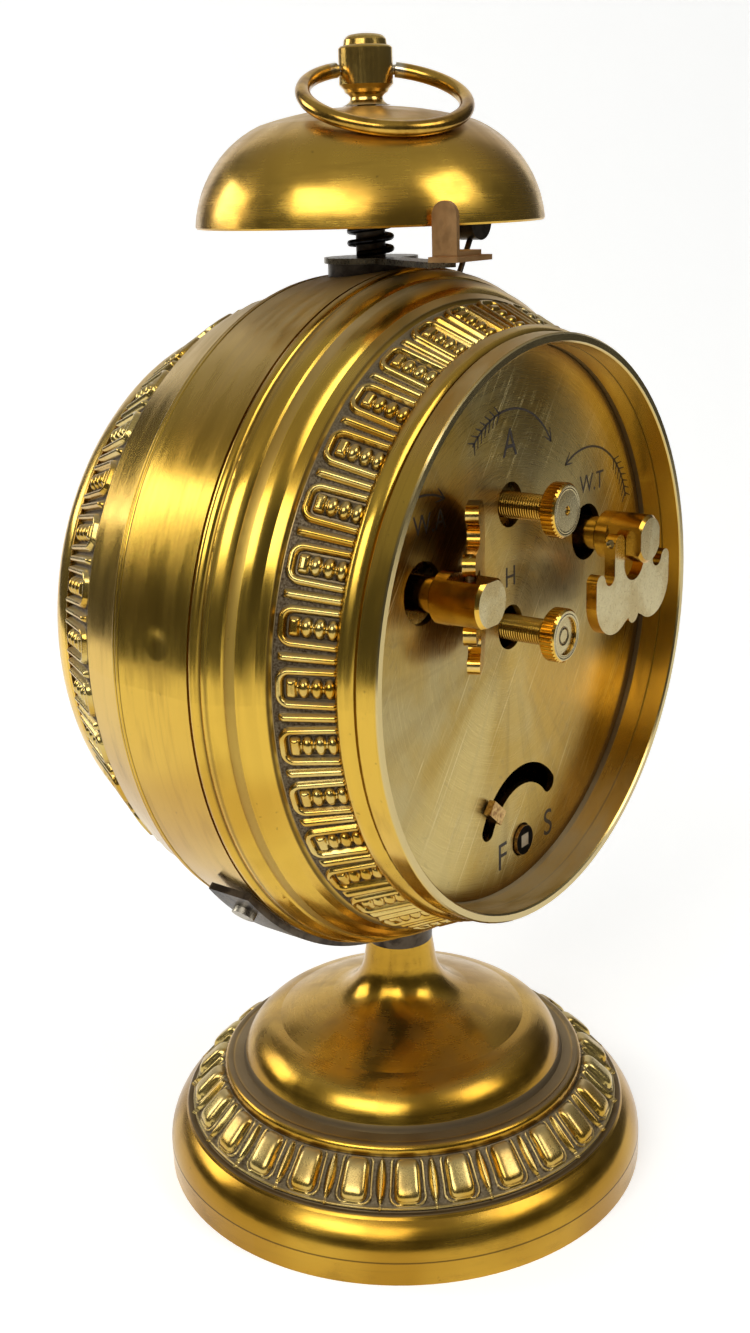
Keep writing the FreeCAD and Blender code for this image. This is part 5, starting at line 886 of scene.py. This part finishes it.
def make_stage():
    """Floor and backdrop in one sweep: flat under the clock, rising behind it as the camera sees it."""
    behind, side = Vector((-0.797, -0.603, 0.0)), Vector((0.603, -0.797, 0.0))
    curve_steps = 12
    profile = [(STAGE_FRONT, 0.0), (STAGE_BACK, 0.0)]
    for i in range(1, curve_steps + 1):
        a = math.pi / 2 * i / curve_steps
        profile.append((STAGE_BACK + SWEEP_RADIUS * math.sin(a), SWEEP_RADIUS - SWEEP_RADIUS * math.cos(a)))
    profile.append((STAGE_BACK + SWEEP_RADIUS, BACKDROP_TOP))
    vertices = [behind * along + side * across + Vector((0.0, 0.0, up))
                for along, up in profile for across in (-STAGE_HALF, STAGE_HALF)]
    faces = [(2 * i, 2 * i + 2, 2 * i + 3, 2 * i + 1) for i in range(len(profile) - 1)]
    mesh = bpy.data.meshes.new("floor")
    mesh.from_pydata([tuple(v) for v in vertices], [], faces)
    mesh.polygons.foreach_set("use_smooth", [True] * len(mesh.polygons))
    mesh.materials.append(stage_material())
    floor = bpy.data.objects.new("floor", mesh)
    bpy.context.scene.collection.objects.link(floor)


def area_light(name, place, target, size, power):
    data = bpy.data.lights.new(name, "AREA")
    data.shape = "RECTANGLE"
    data.size, data.size_y = size
    data.energy = power
    obj = bpy.data.objects.new(name, data)
    obj.location = place
    obj.rotation_mode = "QUATERNION"
    obj.rotation_quaternion = (target - place).to_track_quat("-Z", "Y")
    bpy.context.scene.collection.objects.link(obj)


def make_world():
    """A dim room with a paler ceiling."""
    world = bpy.data.worlds.new("world")
    world.use_nodes = True
    tree = world.node_tree
    coords = tree.nodes.new("ShaderNodeTexCoord")
    parts = tree.nodes.new("ShaderNodeSeparateXYZ")
    tree.links.new(coords.outputs["Generated"], parts.inputs[0])
    level = tree.nodes.new("ShaderNodeMapRange")
    level.interpolation_type = "SMOOTHSTEP"
    tree.links.new(parts.outputs[2], level.inputs[0])
    low, high, wall, ceiling = 0.30, 0.85, 0.085, 0.38
    for socket, value in zip(list(level.inputs)[1:5], (low, high, wall, ceiling)):
        socket.default_value = value
    background = tree.nodes["Background"]
    background.inputs["Color"].default_value = (1.0, 1.0, 1.0, 1.0)
    tree.links.new(level.outputs[0], background.inputs["Strength"])
    bpy.context.scene.world = world


def make_light():
    """Three soft boxes one metre away: (name, azimuth, elevation, size, radiance)."""
    target = Vector((0.0, 0.0, 0.10))
    for name, azimuth, elevation, size, radiance in (
        ("window_left", -71.0, 21.0, (0.46, 0.36), 5.2),
        ("window_front", 9.0, 35.0, (0.80, 0.38), 4.8),
        ("window_right", 98.0, 38.0, (0.45, 0.42), 4.5),
    ):
        a, e = math.radians(azimuth), math.radians(elevation)
        place = target + Vector((math.cos(e) * math.cos(a), math.cos(e) * math.sin(a), math.sin(e)))
        area_light(name, place, target, size, radiance * math.pi * size[0] * size[1])


def make_camera():
    """The photograph's camera, solved from the round edges of drum, foot and bell."""
    right = Vector((-0.5959, 0.8025, -0.0294))
    forward = Vector((-0.7622, -0.5768, -0.2939)).normalized()
    right = (right - forward * right.dot(forward)).normalized()
    up = right.cross(forward).normalized()
    data = bpy.data.cameras.new("camera")
    data.sensor_fit = "AUTO"
    data.sensor_width = SENSOR
    data.lens = FOCAL_LENGTH * SENSOR / PHOTO_HEIGHT
    data.clip_start, data.clip_end = 0.01, 20.0
    obj = bpy.data.objects.new("camera", data)
    rotation = Matrix((right, up, -forward)).transposed()
    obj.matrix_world = Matrix.Translation(Vector(CAMERA_PLACE) * MM) @ rotation.to_4x4()
    bpy.context.scene.collection.objects.link(obj)
    bpy.context.scene.camera = obj


dress_nodes()
make_ornament()
make_back_marks()
make_dial_print()
make_stage()
make_world()
make_light()
make_camera()

bpy.context.scene.view_settings.view_transform = "Standard"
